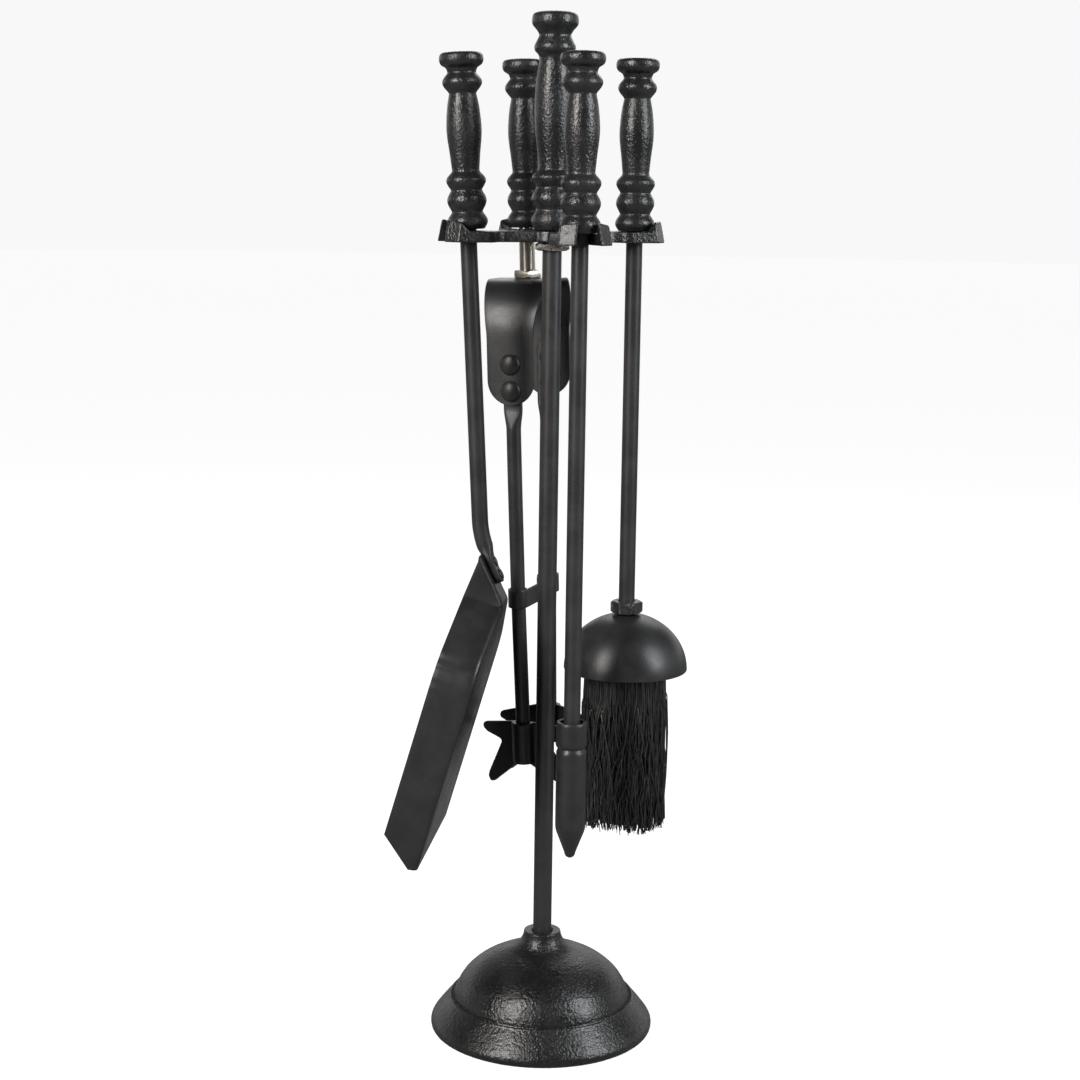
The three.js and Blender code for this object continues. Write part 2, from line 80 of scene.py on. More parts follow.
def middleOf(edge):
    return (edge.verts[0].co + edge.verts[1].co) / 2 / mm


def drawLine(name, points, closed=False):
    # one vertex, extruded from point to point; it stays in edit mode
    clearSelection()
    bpy.ops.mesh.primitive_plane_add(size=mm)
    line = bpy.context.object
    line.name = name
    bpy.ops.object.mode_set(mode="EDIT")
    bpy.ops.mesh.select_mode(type="VERT")
    bpy.ops.mesh.merge(type="CENTER")
    bpy.ops.transform.translate(value=Vector(points[0]) * mm)
    for before, after in zip(points, points[1:]):
        step = (Vector(after) - Vector(before)) * mm
        bpy.ops.mesh.extrude_region_move(TRANSFORM_OT_translate={"value": step})
    if closed:
        first = Vector(points[0])
        last = Vector(points[-1])
        pick(line, "VERT", lambda v: min((v.co / mm - p).length for p in (first, last)) < 1e-3)
        bpy.ops.mesh.edge_face_add()
    bpy.ops.mesh.select_all(action="SELECT")
    return line


def tidyMesh(piece):
    choose(piece)
    bpy.ops.object.mode_set(mode="EDIT")
    bpy.ops.mesh.select_all(action="SELECT")
    bpy.ops.mesh.remove_doubles(threshold=2e-3 * mm)
    bpy.ops.mesh.normals_make_consistent(inside=False)
    bpy.ops.object.mode_set(mode="OBJECT")


def smoothShade(piece, degrees=35):
    choose(piece)
    bpy.ops.object.shade_smooth_by_angle(angle=math.radians(degrees))


def applyModifier(piece, kind, **settings):
    choose(piece)
    modifier = piece.modifiers.new(kind.lower(), kind)
    for key, value in settings.items():
        setattr(modifier, key, value)
    bpy.ops.object.modifier_apply(modifier=modifier.name)


def turnedPiece(name, outline, sides):
    # outline is (radius, height) points, closed or ending on the axis
    line = drawLine(name, [(radius, 0, height) for radius, height in outline])
    bpy.ops.mesh.spin(steps=sides, angle=fullTurn, center=(0, 0, 0), axis=(0, 0, 1))
    tidyMesh(line)
    return line


def boxPiece(centre, size):
    clearSelection()
    bpy.ops.mesh.primitive_cube_add(size=mm)
    block = bpy.context.object
    settle(block, shift(*centre) @ Matrix.Diagonal((*size, 1)))
    return block


def flatPiece(name, outline, height, toPoint):
    # a closed outline, filled and extruded by the vector height
    plate = drawLine(name, [toPoint(point) for point in outline], closed=True)
    bpy.ops.mesh.edge_face_add()
    bpy.ops.mesh.extrude_region_move(TRANSFORM_OT_translate={"value": Vector(height) * mm})
    tidyMesh(plate)
    return plate


def splineThrough(points, perSpan):
    # Catmull-Rom through the points
    padded = [points[0], *points, points[-1]]
    line = []
    for i in range(len(points) - 1):
        a, b, c, d = [Vector(p) for p in padded[i:i + 4]]
        for j in range(perSpan):
            t = j / perSpan
            curve = 2 * b + (c - a) * t + (2 * a - 5 * b + 4 * c - d) * t * t
            line.append(tuple((curve + (3 * b - a - 3 * c + d) * t ** 3) / 2))
    line.append(tuple(points[-1]))
    return line


def cubicCurve(start, pullA, pullB, end, steps):
    start, pullA, pullB, end = [Vector(p) for p in (start, pullA, pullB, end)]
    line = []
    for i in range(steps + 1):
        t = i / steps
        curve = start * (1 - t) ** 3 + 3 * pullA * t * (1 - t) ** 2
        line.append(tuple(curve + 3 * pullB * t * t * (1 - t) + end * t ** 3))
    return line


def arc(centre, radiusX, radiusY, start, end, steps):
    angles = [math.radians(start + (end - start) * i / steps) for i in range(steps + 1)]
    return [(centre[0] + radiusX * math.cos(a), centre[1] + radiusY * math.sin(a)) for a in angles]


def bead(neckBelow, crown, neckAbove, steps=12):
    # a full round ring of a turned piece, from neck to neck
    line = []
    for i in range(steps + 1):
        u = 2 * i / steps - 1
        neck = neckBelow if u < 0 else neckAbove
        swell = math.cos(u * math.pi / 2) ** 1.15
        height = crown[1] + (neck[1] - crown[1]) * abs(u)
        line.append((neck[0] + (crown[0] - neck[0]) * swell, height))
    return line


def refine(outline, longest):
    # adds points to an outline so that no step is longer than this
    line = [outline[0]]
    for before, after in zip(outline, outline[1:]):
        steps = max(1, math.ceil(math.dist(before, after) / longest))
        for i in range(1, steps + 1):
            t = i / steps
            line.append(tuple(a + (b - a) * t for a, b in zip(before, after)))
    return line


def copyPiece(piece, name):
    copy = piece.copy()
    copy.data = piece.data.copy()
    copy.name = name
    bpy.context.scene.collection.objects.link(copy)
    return copy


def settle(piece, place):
    # moves the piece there and leaves the object at the origin
    choose(piece)
    piece.matrix_world = place @ piece.matrix_world
    bpy.ops.object.transform_apply(location=True, rotation=True, scale=True)


def shift(x, y, z):
    return Matrix.Translation(Vector((x, y, z)) * mm)


def reshape(piece, rule):
    # moves each vertex to where the rule sends it
    for vertex in piece.data.vertices:
        vertex.co = Vector(rule(*(vertex.co / mm))) * mm
    piece.data.update()


def discard(piece):
    choose(piece)
    bpy.ops.object.delete()


def cutAway(piece, tool, operation="DIFFERENCE"):
    applyModifier(piece, "BOOLEAN", object=tool, operation=operation, solver="EXACT")
    discard(tool)


def joined(name, pieces):
    choose(pieces[0])
    for other in pieces[1:]:
        other.select_set(True)
    bpy.ops.object.join()
    pieces[0].name = name
    return pieces[0]


def castSkin(piece, grain, strength):
    # the lumpy skin of a casting under thick paint
    lumps = bpy.data.textures.new(piece.name + "Lumps", "CLOUDS")
    lumps.noise_scale = grain * mm
    lumps.noise_depth = 1
    applyModifier(piece, "DISPLACE", texture=lumps, strength=strength * mm, mid_level=0.5,
                  texture_coords="LOCAL")


def finished(piece, body, node, material, angle=35):
    smoothShade(piece, angle)
    piece.data.materials.clear()
    piece.data.materials.append(material)
    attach(piece, body)
    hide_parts(node)


def fitted(piece, place, body, node, material, angle=35):
    # built upright on the Z axis, then hung in its place
    settle(piece, place)
    finished(piece, body, node, material, angle)


# Shader node groups

def newGroup(name, inputs, outputs):
    group = bpy.data.node_groups.new(name, "ShaderNodeTree")
    for label, kind, value in inputs:
        socket = group.interface.new_socket(label, in_out="INPUT", socket_type=kind)
        socket.default_value = value
    for label, kind in outputs:
        group.interface.new_socket(label, in_out="OUTPUT", socket_type=kind)
    start = group.nodes.new("NodeGroupInput")
    end = group.nodes.new("NodeGroupOutput")
    return group, start, end


def texture(tree, kind, place=None, **values):
    # a pattern on the piece's own coordinates, or on the ones given
    node = tree.nodes.new("ShaderNodeTex" + kind)
    for key, value in values.items():
        node.inputs[key].default_value = value
    if place is None:
        place = tree.nodes.new("ShaderNodeTexCoord").outputs["Object"]
    tree.links.new(place, node.inputs["Vector"])
    return node


def mapRange(tree, source, low, high, outLow=0.0, outHigh=1.0):
    node = tree.nodes.new("ShaderNodeMapRange")
    node.interpolation_type = "SMOOTHSTEP"
    for key, value in (("From Min", low), ("From Max", high), ("To Min", outLow), ("To Max", outHigh)):
        node.inputs[key].default_value = value
    tree.links.new(source, node.inputs["Value"])
    return node.outputs["Result"]


def combine(tree, operation, first, second):
    node = tree.nodes.new("ShaderNodeMath")
    node.operation = operation
    for socket, value in zip(node.inputs, (first, second)):
        if isinstance(value, float):
            socket.default_value = value
        else:
            tree.links.new(value, socket)
    return node.outputs[0]


def times(tree, first, second):
    return combine(tree, "MULTIPLY", first, second)


def plus(tree, first, second):
    return combine(tree, "ADD", first, second)


def makeGrainGroup():
    # fine lumps and pits: a height, and a slow patchiness
    group, start, end = newGroup(
        "paintGrain",
        [("Size", "NodeSocketFloat", 1000.0), ("Pits", "NodeSocketFloat", 0.3)],
        [("Height", "NodeSocketFloat"), ("Patches", "NodeSocketFloat")],
    )
    lumps = texture(group, "Noise", Detail=3.0, Roughness=0.55)
    cells = texture(group, "Voronoi")
    patches = texture(group, "Noise", Scale=60.0, Detail=4.0, Roughness=0.6)
    group.links.new(start.outputs["Size"], lumps.inputs["Scale"])
    group.links.new(times(group, start.outputs["Size"], 0.8), cells.inputs["Scale"])
    cellHeight = mapRange(group, cells.outputs["Distance"], 0.0, 0.75, 1.0, 0.0)
    pits = times(group, cellHeight, start.outputs["Pits"])
    group.links.new(plus(group, lumps.outputs["Fac"], pits), end.inputs["Height"])
    group.links.new(mapRange(group, patches.outputs["Fac"], 0.3, 0.7), end.inputs["Patches"])
    return group


def makeWearGroup():
    # how far the paint has gone from the corners
    group, start, end = newGroup(
        "edgeWear",
        [("Amount", "NodeSocketFloat", 0.5), ("Size", "NodeSocketFloat", 300.0),
         ("From", "NodeSocketFloat", 0.52)],
        [("Wear", "NodeSocketFloat")],
    )
    pointed = group.nodes.new("ShaderNodeNewGeometry").outputs["Pointiness"]
    chips = texture(group, "Noise", Detail=5.0, Roughness=0.65)
    group.links.new(start.outputs["Size"], chips.inputs["Scale"])
    above = combine(group, "SUBTRACT", pointed, start.outputs["From"])
    corner = mapRange(group, above, 0.0, 0.08)
    chipped = mapRange(group, chips.outputs["Fac"], 0.42, 0.62)
    both = times(group, corner, chipped)
    group.links.new(times(group, both, start.outputs["Amount"]), end.inputs["Wear"])
    return group


def makeDustGroup():
    # dust that lies on what faces up
    group, start, end = newGroup(
        "settledDust",
        [("Amount", "NodeSocketFloat", 0.3)],
        [("Dust", "NodeSocketFloat")],
    )
    geometry = group.nodes.new("ShaderNodeNewGeometry")
    split = group.nodes.new("ShaderNodeSeparateXYZ")
    group.links.new(geometry.outputs["Normal"], split.inputs[0])
    specks = texture(group, "Noise", Scale=700.0, Detail=6.0, Roughness=0.7)
    facing = mapRange(group, split.outputs["Z"], 0.55, 1.0)
    scattered = mapRange(group, specks.outputs["Fac"], 0.5, 0.72)
    group.links.new(times(group, times(group, facing, scattered), start.outputs["Amount"]),
                    end.inputs["Dust"])
    return group


grainGroup = makeGrainGroup()
wearGroup = makeWearGroup()
dustGroup = makeDustGroup()


def useGroup(tree, group, **values):
    node = tree.nodes.new("ShaderNodeGroup")
    node.node_tree = group
    for key, value in values.items():
        node.inputs[key].default_value = value
    return node


def mixColour(tree, amount, first, second):
    node = tree.nodes.new("ShaderNodeMix")
    node.data_type = "RGBA"
    tree.links.new(amount, node.inputs["Factor"])
    for socket, value in ((node.inputs[6], first), (node.inputs[7], second)):
        if isinstance(value, tuple):
            socket.default_value = (*value, 1)
        else:
            tree.links.new(value, socket)
    return node.outputs[2]


def newMaterial(name):
    material = bpy.data.materials.new(name)
    material.use_nodes = True
    tree = material.node_tree
    return material, tree, tree.nodes["Principled BSDF"]


def addBump(tree, shader, height, strength, depth):
    bump = tree.nodes.new("ShaderNodeBump")
    bump.inputs["Strength"].default_value = strength
    bump.inputs["Distance"].default_value = depth * mm
    tree.links.new(height, bump.inputs["Height"])
    tree.links.new(bump.outputs["Normal"], shader.inputs["Normal"])


def paintedMetal(name, finish):
    # paint over metal: patchy, lumpy, worn at the corners and a little dusty
    material, tree, shader = newMaterial(name)
    shader.inputs["IOR"].default_value = 1.5
    shader.inputs["Coat Roughness"].default_value = finish["coatRoughness"]
    shader.inputs["Coat Weight"].default_value = finish["coat"]
    grain = useGroup(tree, grainGroup, Size=finish["grainSize"], Pits=finish["pits"])
    wear = useGroup(tree, wearGroup, Amount=finish["wear"], Size=finish["chipSize"],
                    From=finish["wearFrom"])
    dust = useGroup(tree, dustGroup, Amount=finish["dust"])
    paint = mixColour(tree, grain.outputs["Patches"], finish["colour"], finish["patchColour"])
    worn = mixColour(tree, wear.outputs["Wear"], paint, finish["wornColour"])
    dusty = mixColour(tree, dust.outputs["Dust"], worn, finish["dustColour"])
    tree.links.new(dusty, shader.inputs["Base Color"])
    low, high = finish["roughness"]
    rough = mapRange(tree, grain.outputs["Patches"], 0.0, 1.0, low, high)
    dulled = plus(tree, rough, times(tree, dust.outputs["Dust"], 0.3))
    tree.links.new(dulled, shader.inputs["Roughness"])
    tree.links.new(wear.outputs["Wear"], shader.inputs["Metallic"])
    addBump(tree, shader, grain.outputs["Height"], finish["bumpStrength"], finish["bumpDepth"])
    return material


castFinish = {
    "colour": (0.0105, 0.0108, 0.0115),
    "patchColour": (0.0175, 0.0178, 0.0185),
    "wornColour": (0.09, 0.088, 0.085),
    "dustColour": (0.10, 0.095, 0.09),
    "roughness": (0.27, 0.38),
    "coat": 0.15,
    "coatRoughness": 0.22,
    "grainSize": 640.0,
    "pits": 0.35,
    "wear": 0.35,
    "wearFrom": 0.53,
    "chipSize": 420.0,
    "dust": 0.1,
    "bumpStrength": 0.9,
    "bumpDepth": 0.42,
}
# the castings' paint made darker for the base: painted shade, standing in for the little light its wide
# top reflects
shadedBaseFinish = {
    **castFinish,
    "colour": (0.0055, 0.0056, 0.006),
    "patchColour": (0.0095, 0.0096, 0.01),
    "dust": 0.06,
}
satinFinish = {
    **castFinish,
    "colour": (0.0205, 0.0207, 0.0212),
    "patchColour": (0.027, 0.0272, 0.0277),
    "roughness": (0.36, 0.46),
    "coat": 0.0,
    "grainSize": 900.0,
    "pits": 0.15,
    "wear": 0.3,
    "bumpStrength": 0.6,
    "bumpDepth": 0.09,
}
sheetFinish = {
    **satinFinish,
    "colour": (0.0155, 0.0158, 0.0165),
    "patchColour": (0.021, 0.0213, 0.022),
    "roughness": (0.34, 0.43),
    "grainSize": 760.0,
    "bumpDepth": 0.1,
    "wear": 0.5,
}
wornNutFinish = {
    **castFinish,
    "wear": 1.0,
    "wearFrom": 0.512,
    "chipSize": 500.0,
    "wornColour": (0.55, 0.52, 0.48),
    "grainSize": 1600.0,
    "bumpDepth": 0.1,
}

castPaint = paintedMetal("castPaint", castFinish)
# the base's darker copy of the cast paint carries painted shade
shadedBasePaint = paintedMetal("shadedBasePaint", shadedBaseFinish)
satinPaint = paintedMetal("satinPaint", satinFinish)
sheetPaint = paintedMetal("sheetPaint", sheetFinish)
nutPaint = paintedMetal("nutPaint", wornNutFinish)


zincFinish = {
    "colour": (0.62, 0.57, 0.50),
    "patchColour": (0.46, 0.42, 0.37),
    "sprayColour": (0.02, 0.02, 0.021),
    "sprayFrom": 0.72,
    "roughness": (0.26, 0.5),  # bare and sprayed
    "grainSize": 900.0,
    "bumpStrength": 0.2,
    "bumpDepth": 0.02,
}


def zincPlate(name, overspray):
    # bright plated steel with turning marks and some black paint sprayed over it
    material, tree, shader = newMaterial(name)
    grain = useGroup(tree, grainGroup, Size=zincFinish["grainSize"], Pits=0.2)
    speckle = texture(tree, "Noise", Scale=230.0, Detail=6.0, Roughness=0.7)
    marks = texture(tree, "Wave", Scale=420.0, Distortion=1.5, Detail=2.0)
    marks.bands_direction = "Z"
    metal = mixColour(tree, grain.outputs["Patches"], zincFinish["colour"], zincFinish["patchColour"])
    sprayFrom = zincFinish["sprayFrom"] - overspray
    cover = mapRange(tree, speckle.outputs["Fac"], sprayFrom, sprayFrom + 0.08)
    painted = mixColour(tree, cover, metal, zincFinish["sprayColour"])
    tree.links.new(painted, shader.inputs["Base Color"])
    tree.links.new(mapRange(tree, cover, 0.0, 1.0, 1.0, 0.1), shader.inputs["Metallic"])
    rough = mapRange(tree, cover, 0.0, 1.0, *zincFinish["roughness"])
    tree.links.new(rough, shader.inputs["Roughness"])
    height = plus(tree, marks.outputs["Fac"], cover)
    addBump(tree, shader, height, zincFinish["bumpStrength"], zincFinish["bumpDepth"])
    return material


brightZinc = zincPlate("brightZinc", 0.03)
sprayedZinc = zincPlate("sprayedZinc", 0.19)


def fibreMaterial():
    # dark fibres, each a little lighter or duller than the next
    material, tree, shader = newMaterial("blackFibre")
    stretch = tree.nodes.new("ShaderNodeMapping")
    stretch.inputs["Scale"].default_value = (1, 1, 0.12)
    place = tree.nodes.new("ShaderNodeTexCoord")
    tree.links.new(place.outputs["Object"], stretch.inputs["Vector"])
    strands = texture(tree, "Noise", stretch.outputs["Vector"], Scale=900.0, Detail=4.0, Roughness=0.6)
    light = mapRange(tree, strands.outputs["Fac"], 0.35, 0.7)
    colour = mixColour(tree, light, (0.0105, 0.0105, 0.011), (0.036, 0.035, 0.035))
    tree.links.new(colour, shader.inputs["Base Color"])
    tree.links.new(mapRange(tree, light, 0.0, 1.0, 0.42, 0.62), shader.inputs["Roughness"])
    return material


def plugMaterial():
    material, tree, shader = newMaterial("plugWood")
    rings = texture(tree, "Wave", Scale=160.0, Distortion=6.0, Detail=3.0).outputs["Fac"]
    colour = mixColour(tree, rings, (0.30, 0.19, 0.10), (0.42, 0.29, 0.17))
    tree.links.new(colour, shader.inputs["Base Color"])
    tree.links.new(mapRange(tree, rings, 0.0, 1.0, 0.6, 0.8), shader.inputs["Roughness"])
    addBump(tree, shader, rings, 1.0, 0.1)
    return material


fibre = fibreMaterial()
plugWood = plugMaterial()
print("materials made")


# Where each tool hangs

rackPlan = {
    "turn": math.radians(-72.4),  # direction of the front fork
    "hookRadius": 54,
    "plateBottom": 511.5,
    "plateTop": 518.2,
    "edgeLift": 0.65,  # a tilted handle stands on the edge of its foot
    "earsFrom": 57,  # from the stem's axis
    "earRamp": 9,
    "draft": 1.2,
}
handleBottom = rackPlan["plateTop"] + 0.3


def hangFrom(fork, tilt=0, turn=0):
    angle = rackPlan["turn"] + fork * math.pi / 2
    radius = rackPlan["hookRadius"]
    seat = shift(radius * math.cos(angle), radius * math.sin(angle), handleBottom)
    lift = rackPlan["edgeLift"] if tilt else 0
    lean = Matrix.Rotation(math.radians(tilt), 4, "Y") @ Matrix.Rotation(math.radians(turn), 4, "Z")
    return seat @ lean @ shift(0, 0, lift - handleBottom)


pokerPlace = hangFrom(0)
brushPlace = hangFrom(1)
tongsPlace = hangFrom(2, tilt=-1.9, turn=-21.5)
shovelPlace = hangFrom(3, tilt=-2.8, turn=-6.5)


# Stand: base, stem, rack and finial

base = {
    "sides": 400,
    "grain": 1.5,
    "skin": 0.27,
    "longest": 0.9,
}


def baseOutline():
    outside = splineThrough(
        [(12.0, 64.2), (12.5, 61.6), (14, 58.4), (16.9, 55.2), (20.8, 52.8), (26, 50.6),
         (33, 47.6), (42, 42.5), (50, 35.4), (54.9, 28), (57.2, 22.6)], 8)
    groove = [(57.7, 20.4), (58.3, 19.9), (58.9, 20.3), (59.5, 21.1), (60.2, 20.9)]
    skirt = splineThrough([(60.9, 19.9), (65.7, 14.2), (69.9, 8.9), (71.5, 6.6), (72.4, 4.4),
                           (72.4, 2.4), (71.8, 0.8), (70.6, 0)], 7)
    under = [(67.4, 0), (66.2, 5), (52, 20), (44, 31), (30, 39), (14, 44), (14, 16), (6.3, 16)]
    top = [(6.3, 63.9), (7.4, 64.9), (11.2, 65), (11.8, 64.8)]
    visible = refine(top + outside + groove + skirt, base["longest"])
    return visible + refine(under, 3) + [top[0]]


baseCasting = turnedPiece("baseCasting", baseOutline(), base["sides"])
castSkin(baseCasting, base["grain"], base["skin"])
finished(baseCasting, "stand", "base_casting", shadedBasePaint, 60)

turnedCasting = {
    "sides": 120,
    "grain": 1.1,
    "skin": 0.12,
    "longest": 0.65,
}


def handleOutline():
    z = handleBottom
    line = [(5.5, z + 3), (5.5, z + 0.4), (9.8, z)]
    line += bead((10.4, z + 0.3), (12.3, 523.2), (9.5, 528.6))
    line += bead((9.5, 529.4), (12, 535.8), (9.6, 541.6))
    line += bead((9.6, 542.4), (12.1, 547.8), (8.7, 552.8))
    line += splineThrough([(8.35, 554), (9.2, 563), (10.65, 577), (9.9, 590), (8.3, 599)], 12)
    line += bead((8.3, 599.8), (12.05, 606), (8.7, 611.6))
    line += splineThrough([(8.8, 612.6), (9.7, 614.6), (12.3, 616.4), (13.4, 618.8), (13.1, 621.8),
                           (11.6, 623.4), (9, 623.9), (5, 624.1)], 7)[1:]
    return refine(line, turnedCasting["longest"]) + [(0, 624.2)]


def closeBore(line, z, radius, depth):
    # the blind hole, from its end on the axis to the mouth
    return [(0, z + depth + 1), (radius, z + depth)] + line


handleModel = turnedPiece("handleModel", closeBore(handleOutline(), handleBottom, 5.5, 28),
                          turnedCasting["sides"])
castSkin(handleModel, turnedCasting["grain"], turnedCasting["skin"])


def finialOutline():
    z = handleBottom
    line = [(6.3, z + 3), (6.3, z + 0.4), (10.6, z)]
    line += bead((11, z + 0.3), (13.1, 524.2), (10.4, 530.9))
    line += bead((10.4, 531.9), (13.1, 538), (10.4, 544.5))
    line += bead((10.4, 545.5), (13.1, 550.8), (9.7, 555.2))
    line += splineThrough([(9.4, 556), (9.8, 564), (11.6, 580), (12, 595), (11.4, 608),
                           (9.6, 619.5)], 12)
    line += splineThrough([(9.5, 621), (9.9, 624), (12.3, 626.8), (12.6, 629.6), (11.2, 632.6),
                           (9.8, 636), (11.3, 639), (13.9, 642.2), (14.2, 645.5), (13.2, 648.6),
                           (10, 649.9), (5, 650.2)], 7)[1:]
    return refine(line, turnedCasting["longest"]) + [(0, 650.2)]


finial = turnedPiece("standFinial", closeBore(finialOutline(), handleBottom, 6.3, 23),
                     turnedCasting["sides"])
castSkin(finial, turnedCasting["grain"], turnedCasting["skin"])
finished(finial, "stand", "finial", castPaint, 60)
print("castings turned")


def rodPiece(name, radius, bottom, top, sides=48, longest=12):
    edge = 0.5
    outline = [(0, bottom), (radius - edge, bottom), (radius, bottom + edge), (radius, top - edge),
               (radius - edge, top), (0, top)]
    return turnedPiece(name, refine(outline, longest), sides)


finished(rodPiece("standStem", 6, 2.5, 540.5), "stand", "stem", satinPaint)


def hexNut(name, acrossFlats, hole, bottom, top, turn):
    # a hexagonal bar, its corners taken off by a cone at both ends, and bored
    corner = acrossFlats / math.sqrt(3)
    middle = (bottom + top) / 2
    clearSelection()
    bpy.ops.mesh.primitive_cylinder_add(vertices=6, radius=corner * mm, depth=(top - bottom) * mm,
                                        location=(0, 0, middle * mm))
    nut = bpy.context.object
    nut.name = name
    settle(nut, Matrix.Rotation(math.radians(turn), 4, "Z"))
    flat = acrossFlats / 2
    drop = (corner - flat + 0.5) * 0.55
    chamfer = turnedPiece(name + "Cone", [(0, bottom), (flat - 0.5, bottom), (corner, bottom + drop),
                                          (corner, top - drop), (flat - 0.5, top), (0, top)], 72)
    cutAway(nut, chamfer, "INTERSECT")
    bore = turnedPiece(name + "Bore", [(0, bottom - 1), (hole + 0.9, bottom - 1), (hole, bottom + 0.8),
                                       (hole, top - 0.8), (hole + 0.9, top + 1), (0, top + 1)], 48)
    cutAway(nut, bore)
    applyModifier(nut, "BEVEL", width=0.18 * mm, segments=2, limit_method="ANGLE",
                  angle_limit=math.radians(24))
    return nut


rackNut = hexNut("rackNut", 18.5, 6.3, 506.2, 511.2, 30)
finished(rackNut, "stand", "rack_nut", sprayedZinc, 25)

rackSkin = {"voxel": 0.55, "grain": 1.2, "skin": 0.22, "smooth": 4}


def forkOutline():
    # seen from above, with the arm along X
    armHalf, forkHalf, endHalf = 6.5, 17, 8.9
    hook, slot, tip, mouth = rackPlan["hookRadius"], 5.9, 71, 8
    side = [(-4, -armHalf)]
    side += cubicCurve((33, -armHalf), (40, -armHalf), (39, -forkHalf), (47, -forkHalf), 8)
    side += [(64.5, -forkHalf), (tip, -endHalf), (tip, -mouth)]
    seat = arc((hook, 0), slot, slot, -90, -270, 16)
    return side + seat + [(x, -y) for x, y in reversed(side)]


def rackArm():
    low, high = rackPlan["plateBottom"], rackPlan["plateTop"]
    plate = flatPiece("rackArm", forkOutline(), (0, 0, high - low), lambda p: (p[0], p[1], low))
    ears = flatPiece("ears", forkOutline(), (0, 0, 7.5), lambda p: (p[0], p[1], high - 1))
    cone = turnedPiece("earSeat", [(0, high - 2), (12.6, high - 2), (13.2, high), (17.8, high + 8),
                                   (0, high + 8)], 64)
    settle(cone, shift(rackPlan["hookRadius"], 0, 0))
    cutAway(ears, cone)
    cutAway(ears, boxPiece((rackPlan["earsFrom"] / 2, 0, high), (rackPlan["earsFrom"], 60, 30)))
    arm = joined("rackArm", [plate, ears])

    def drafted(x, y, z):
        # the sides lean in towards the top, as they must to leave the mould
        lift = (z - low) / (high - low)
        lean = rackPlan["draft"] * lift
        if z > high:
            z = high + (z - high) * min(1, max(0, (x - rackPlan["earsFrom"]) / rackPlan["earRamp"]))
        out = x - lean * 0.9 if x > 64 else x
        inward = math.copysign(min(abs(y), lean), y) if abs(y) > 7.5 or x < 40 else 0
        return (out, y - inward * (0.55 if x < 40 else 0.8), z)

    reshape(arm, drafted)
    return arm


def makeRack():
    low, high = rackPlan["plateBottom"], rackPlan["plateTop"]
    firstArm = rackArm()
    arms = [firstArm] + [copyPiece(firstArm, "rackArm") for _ in range(3)]
    for i, arm in enumerate(arms):
        settle(arm, Matrix.Rotation(rackPlan["turn"] + i * math.pi / 2, 4, "Z"))
    hub = turnedPiece("hub", [(0, low), (13.4, low), (12.6, high), (0, high)], 64)
    rack = joined("rackCasting", [hub, *arms])
    bore = turnedPiece("rackBore", [(0, low - 3), (6.3, low - 3), (6.3, high + 3), (0, high + 3)], 48)
    applyModifier(rack, "REMESH", mode="VOXEL", voxel_size=rackSkin["voxel"] * mm)
    applyModifier(rack, "SMOOTH", factor=0.5, iterations=rackSkin["smooth"])
    cutAway(rack, bore)
    return rack


rack = makeRack()
castSkin(rack, rackSkin["grain"], rackSkin["skin"])
finished(rack, "stand", "rack", castPaint, 60)
print("stand built")


# Rods, straps and rivets

def handleFor(tool, place, spin):
    # each copy of the handle is turned, so that no two show the same skin
    turned = place @ Matrix.Rotation(math.radians(spin), 4, "Z")
    fitted(copyPiece(handleModel, tool + "Handle"), turned, tool, tool + "_handle", castPaint,
           60)


def rivetModel(name, head, shank, grip, tail):
    # along Z from the head's underside; head and tail are (radius, height)
    top = [(x, -y) for x, y in arc((0, 0), head[0], head[1], 90, 0, 12)]
    foot = [(x, grip + y) for x, y in arc((0, 0), tail[0], tail[1], 0, 90, 9)]
    return turnedPiece(name, top + [(shank, 0.02), (shank, grip - 0.02)] + foot, 40)


def flatten(c, roundness):
    # pushes a circle's coordinate towards a square with round corners
    return math.copysign(abs(c) ** roundness, c)


def blendStep(value, low, high):
    t = min(1, max(0, (value - low) / (high - low)))
    return t * t * (3 - 2 * t)


for toolName, toolPlace, spin in (("poker", pokerPlace, 0), ("brush", brushPlace, 95),
                                  ("tongs", tongsPlace, 170), ("shovel", shovelPlace, 250)):
    handleFor(toolName, toolPlace, spin)
discard(handleModel)
print("handles placed")


# Poker

poker = {"rodEnd": 186, "sleeve": 9.5, "mouth": 219.6, "tip": 132}


def pokerTipOutline():
    r, top, tip = poker["sleeve"], poker["mouth"], poker["tip"]
    line = [(0, tip), (1.4, tip + 0.25), (2.6, tip + 1), (3.3, tip + 2.4), (3.7, tip + 4)]
    line += [(8.9, 149.6), (9.35, 151.6), (r, 154), (r, 200.6), (9.1, 201.5), (8.4, 202.4)]
    line += [(8.25, 203.1), (8.6, 203.9), (9.2, 204.6), (r, 205.6), (r, top - 0.5), (9.2, top)]
    line += [(7.4, top), (7.05, top - 0.4), (7, 207), (5.5, 204), (5.5, 185), (0, 184)]
    return refine(line, 2.2)


pokerRod = rodPiece("pokerRod", rodRadius, poker["rodEnd"], rodTop)
fitted(pokerRod, pokerPlace, "poker", "poker_rod", satinPaint)
pokerTip = turnedPiece("pokerTip", pokerTipOutline(), 64)
fitted(pokerTip, pokerPlace, "poker", "poker_tip", sheetPaint)


# Brush

brush = {
    "rim": 237.7, "dome": 40, "height": 36.6, "wall": 1.5, "rodEnd": 246,
    "bundle": 27.2, "bristleTop": 251.5, "bristleEnd": 131, "strand": 0.42, "steps": 12,
    "layers": ((26.9, 300), (25.6, 280), (24.0, 230)),  # radius and number of strands
    "inner": 240, "innerRadius": 22.5, "seed": 11,
}


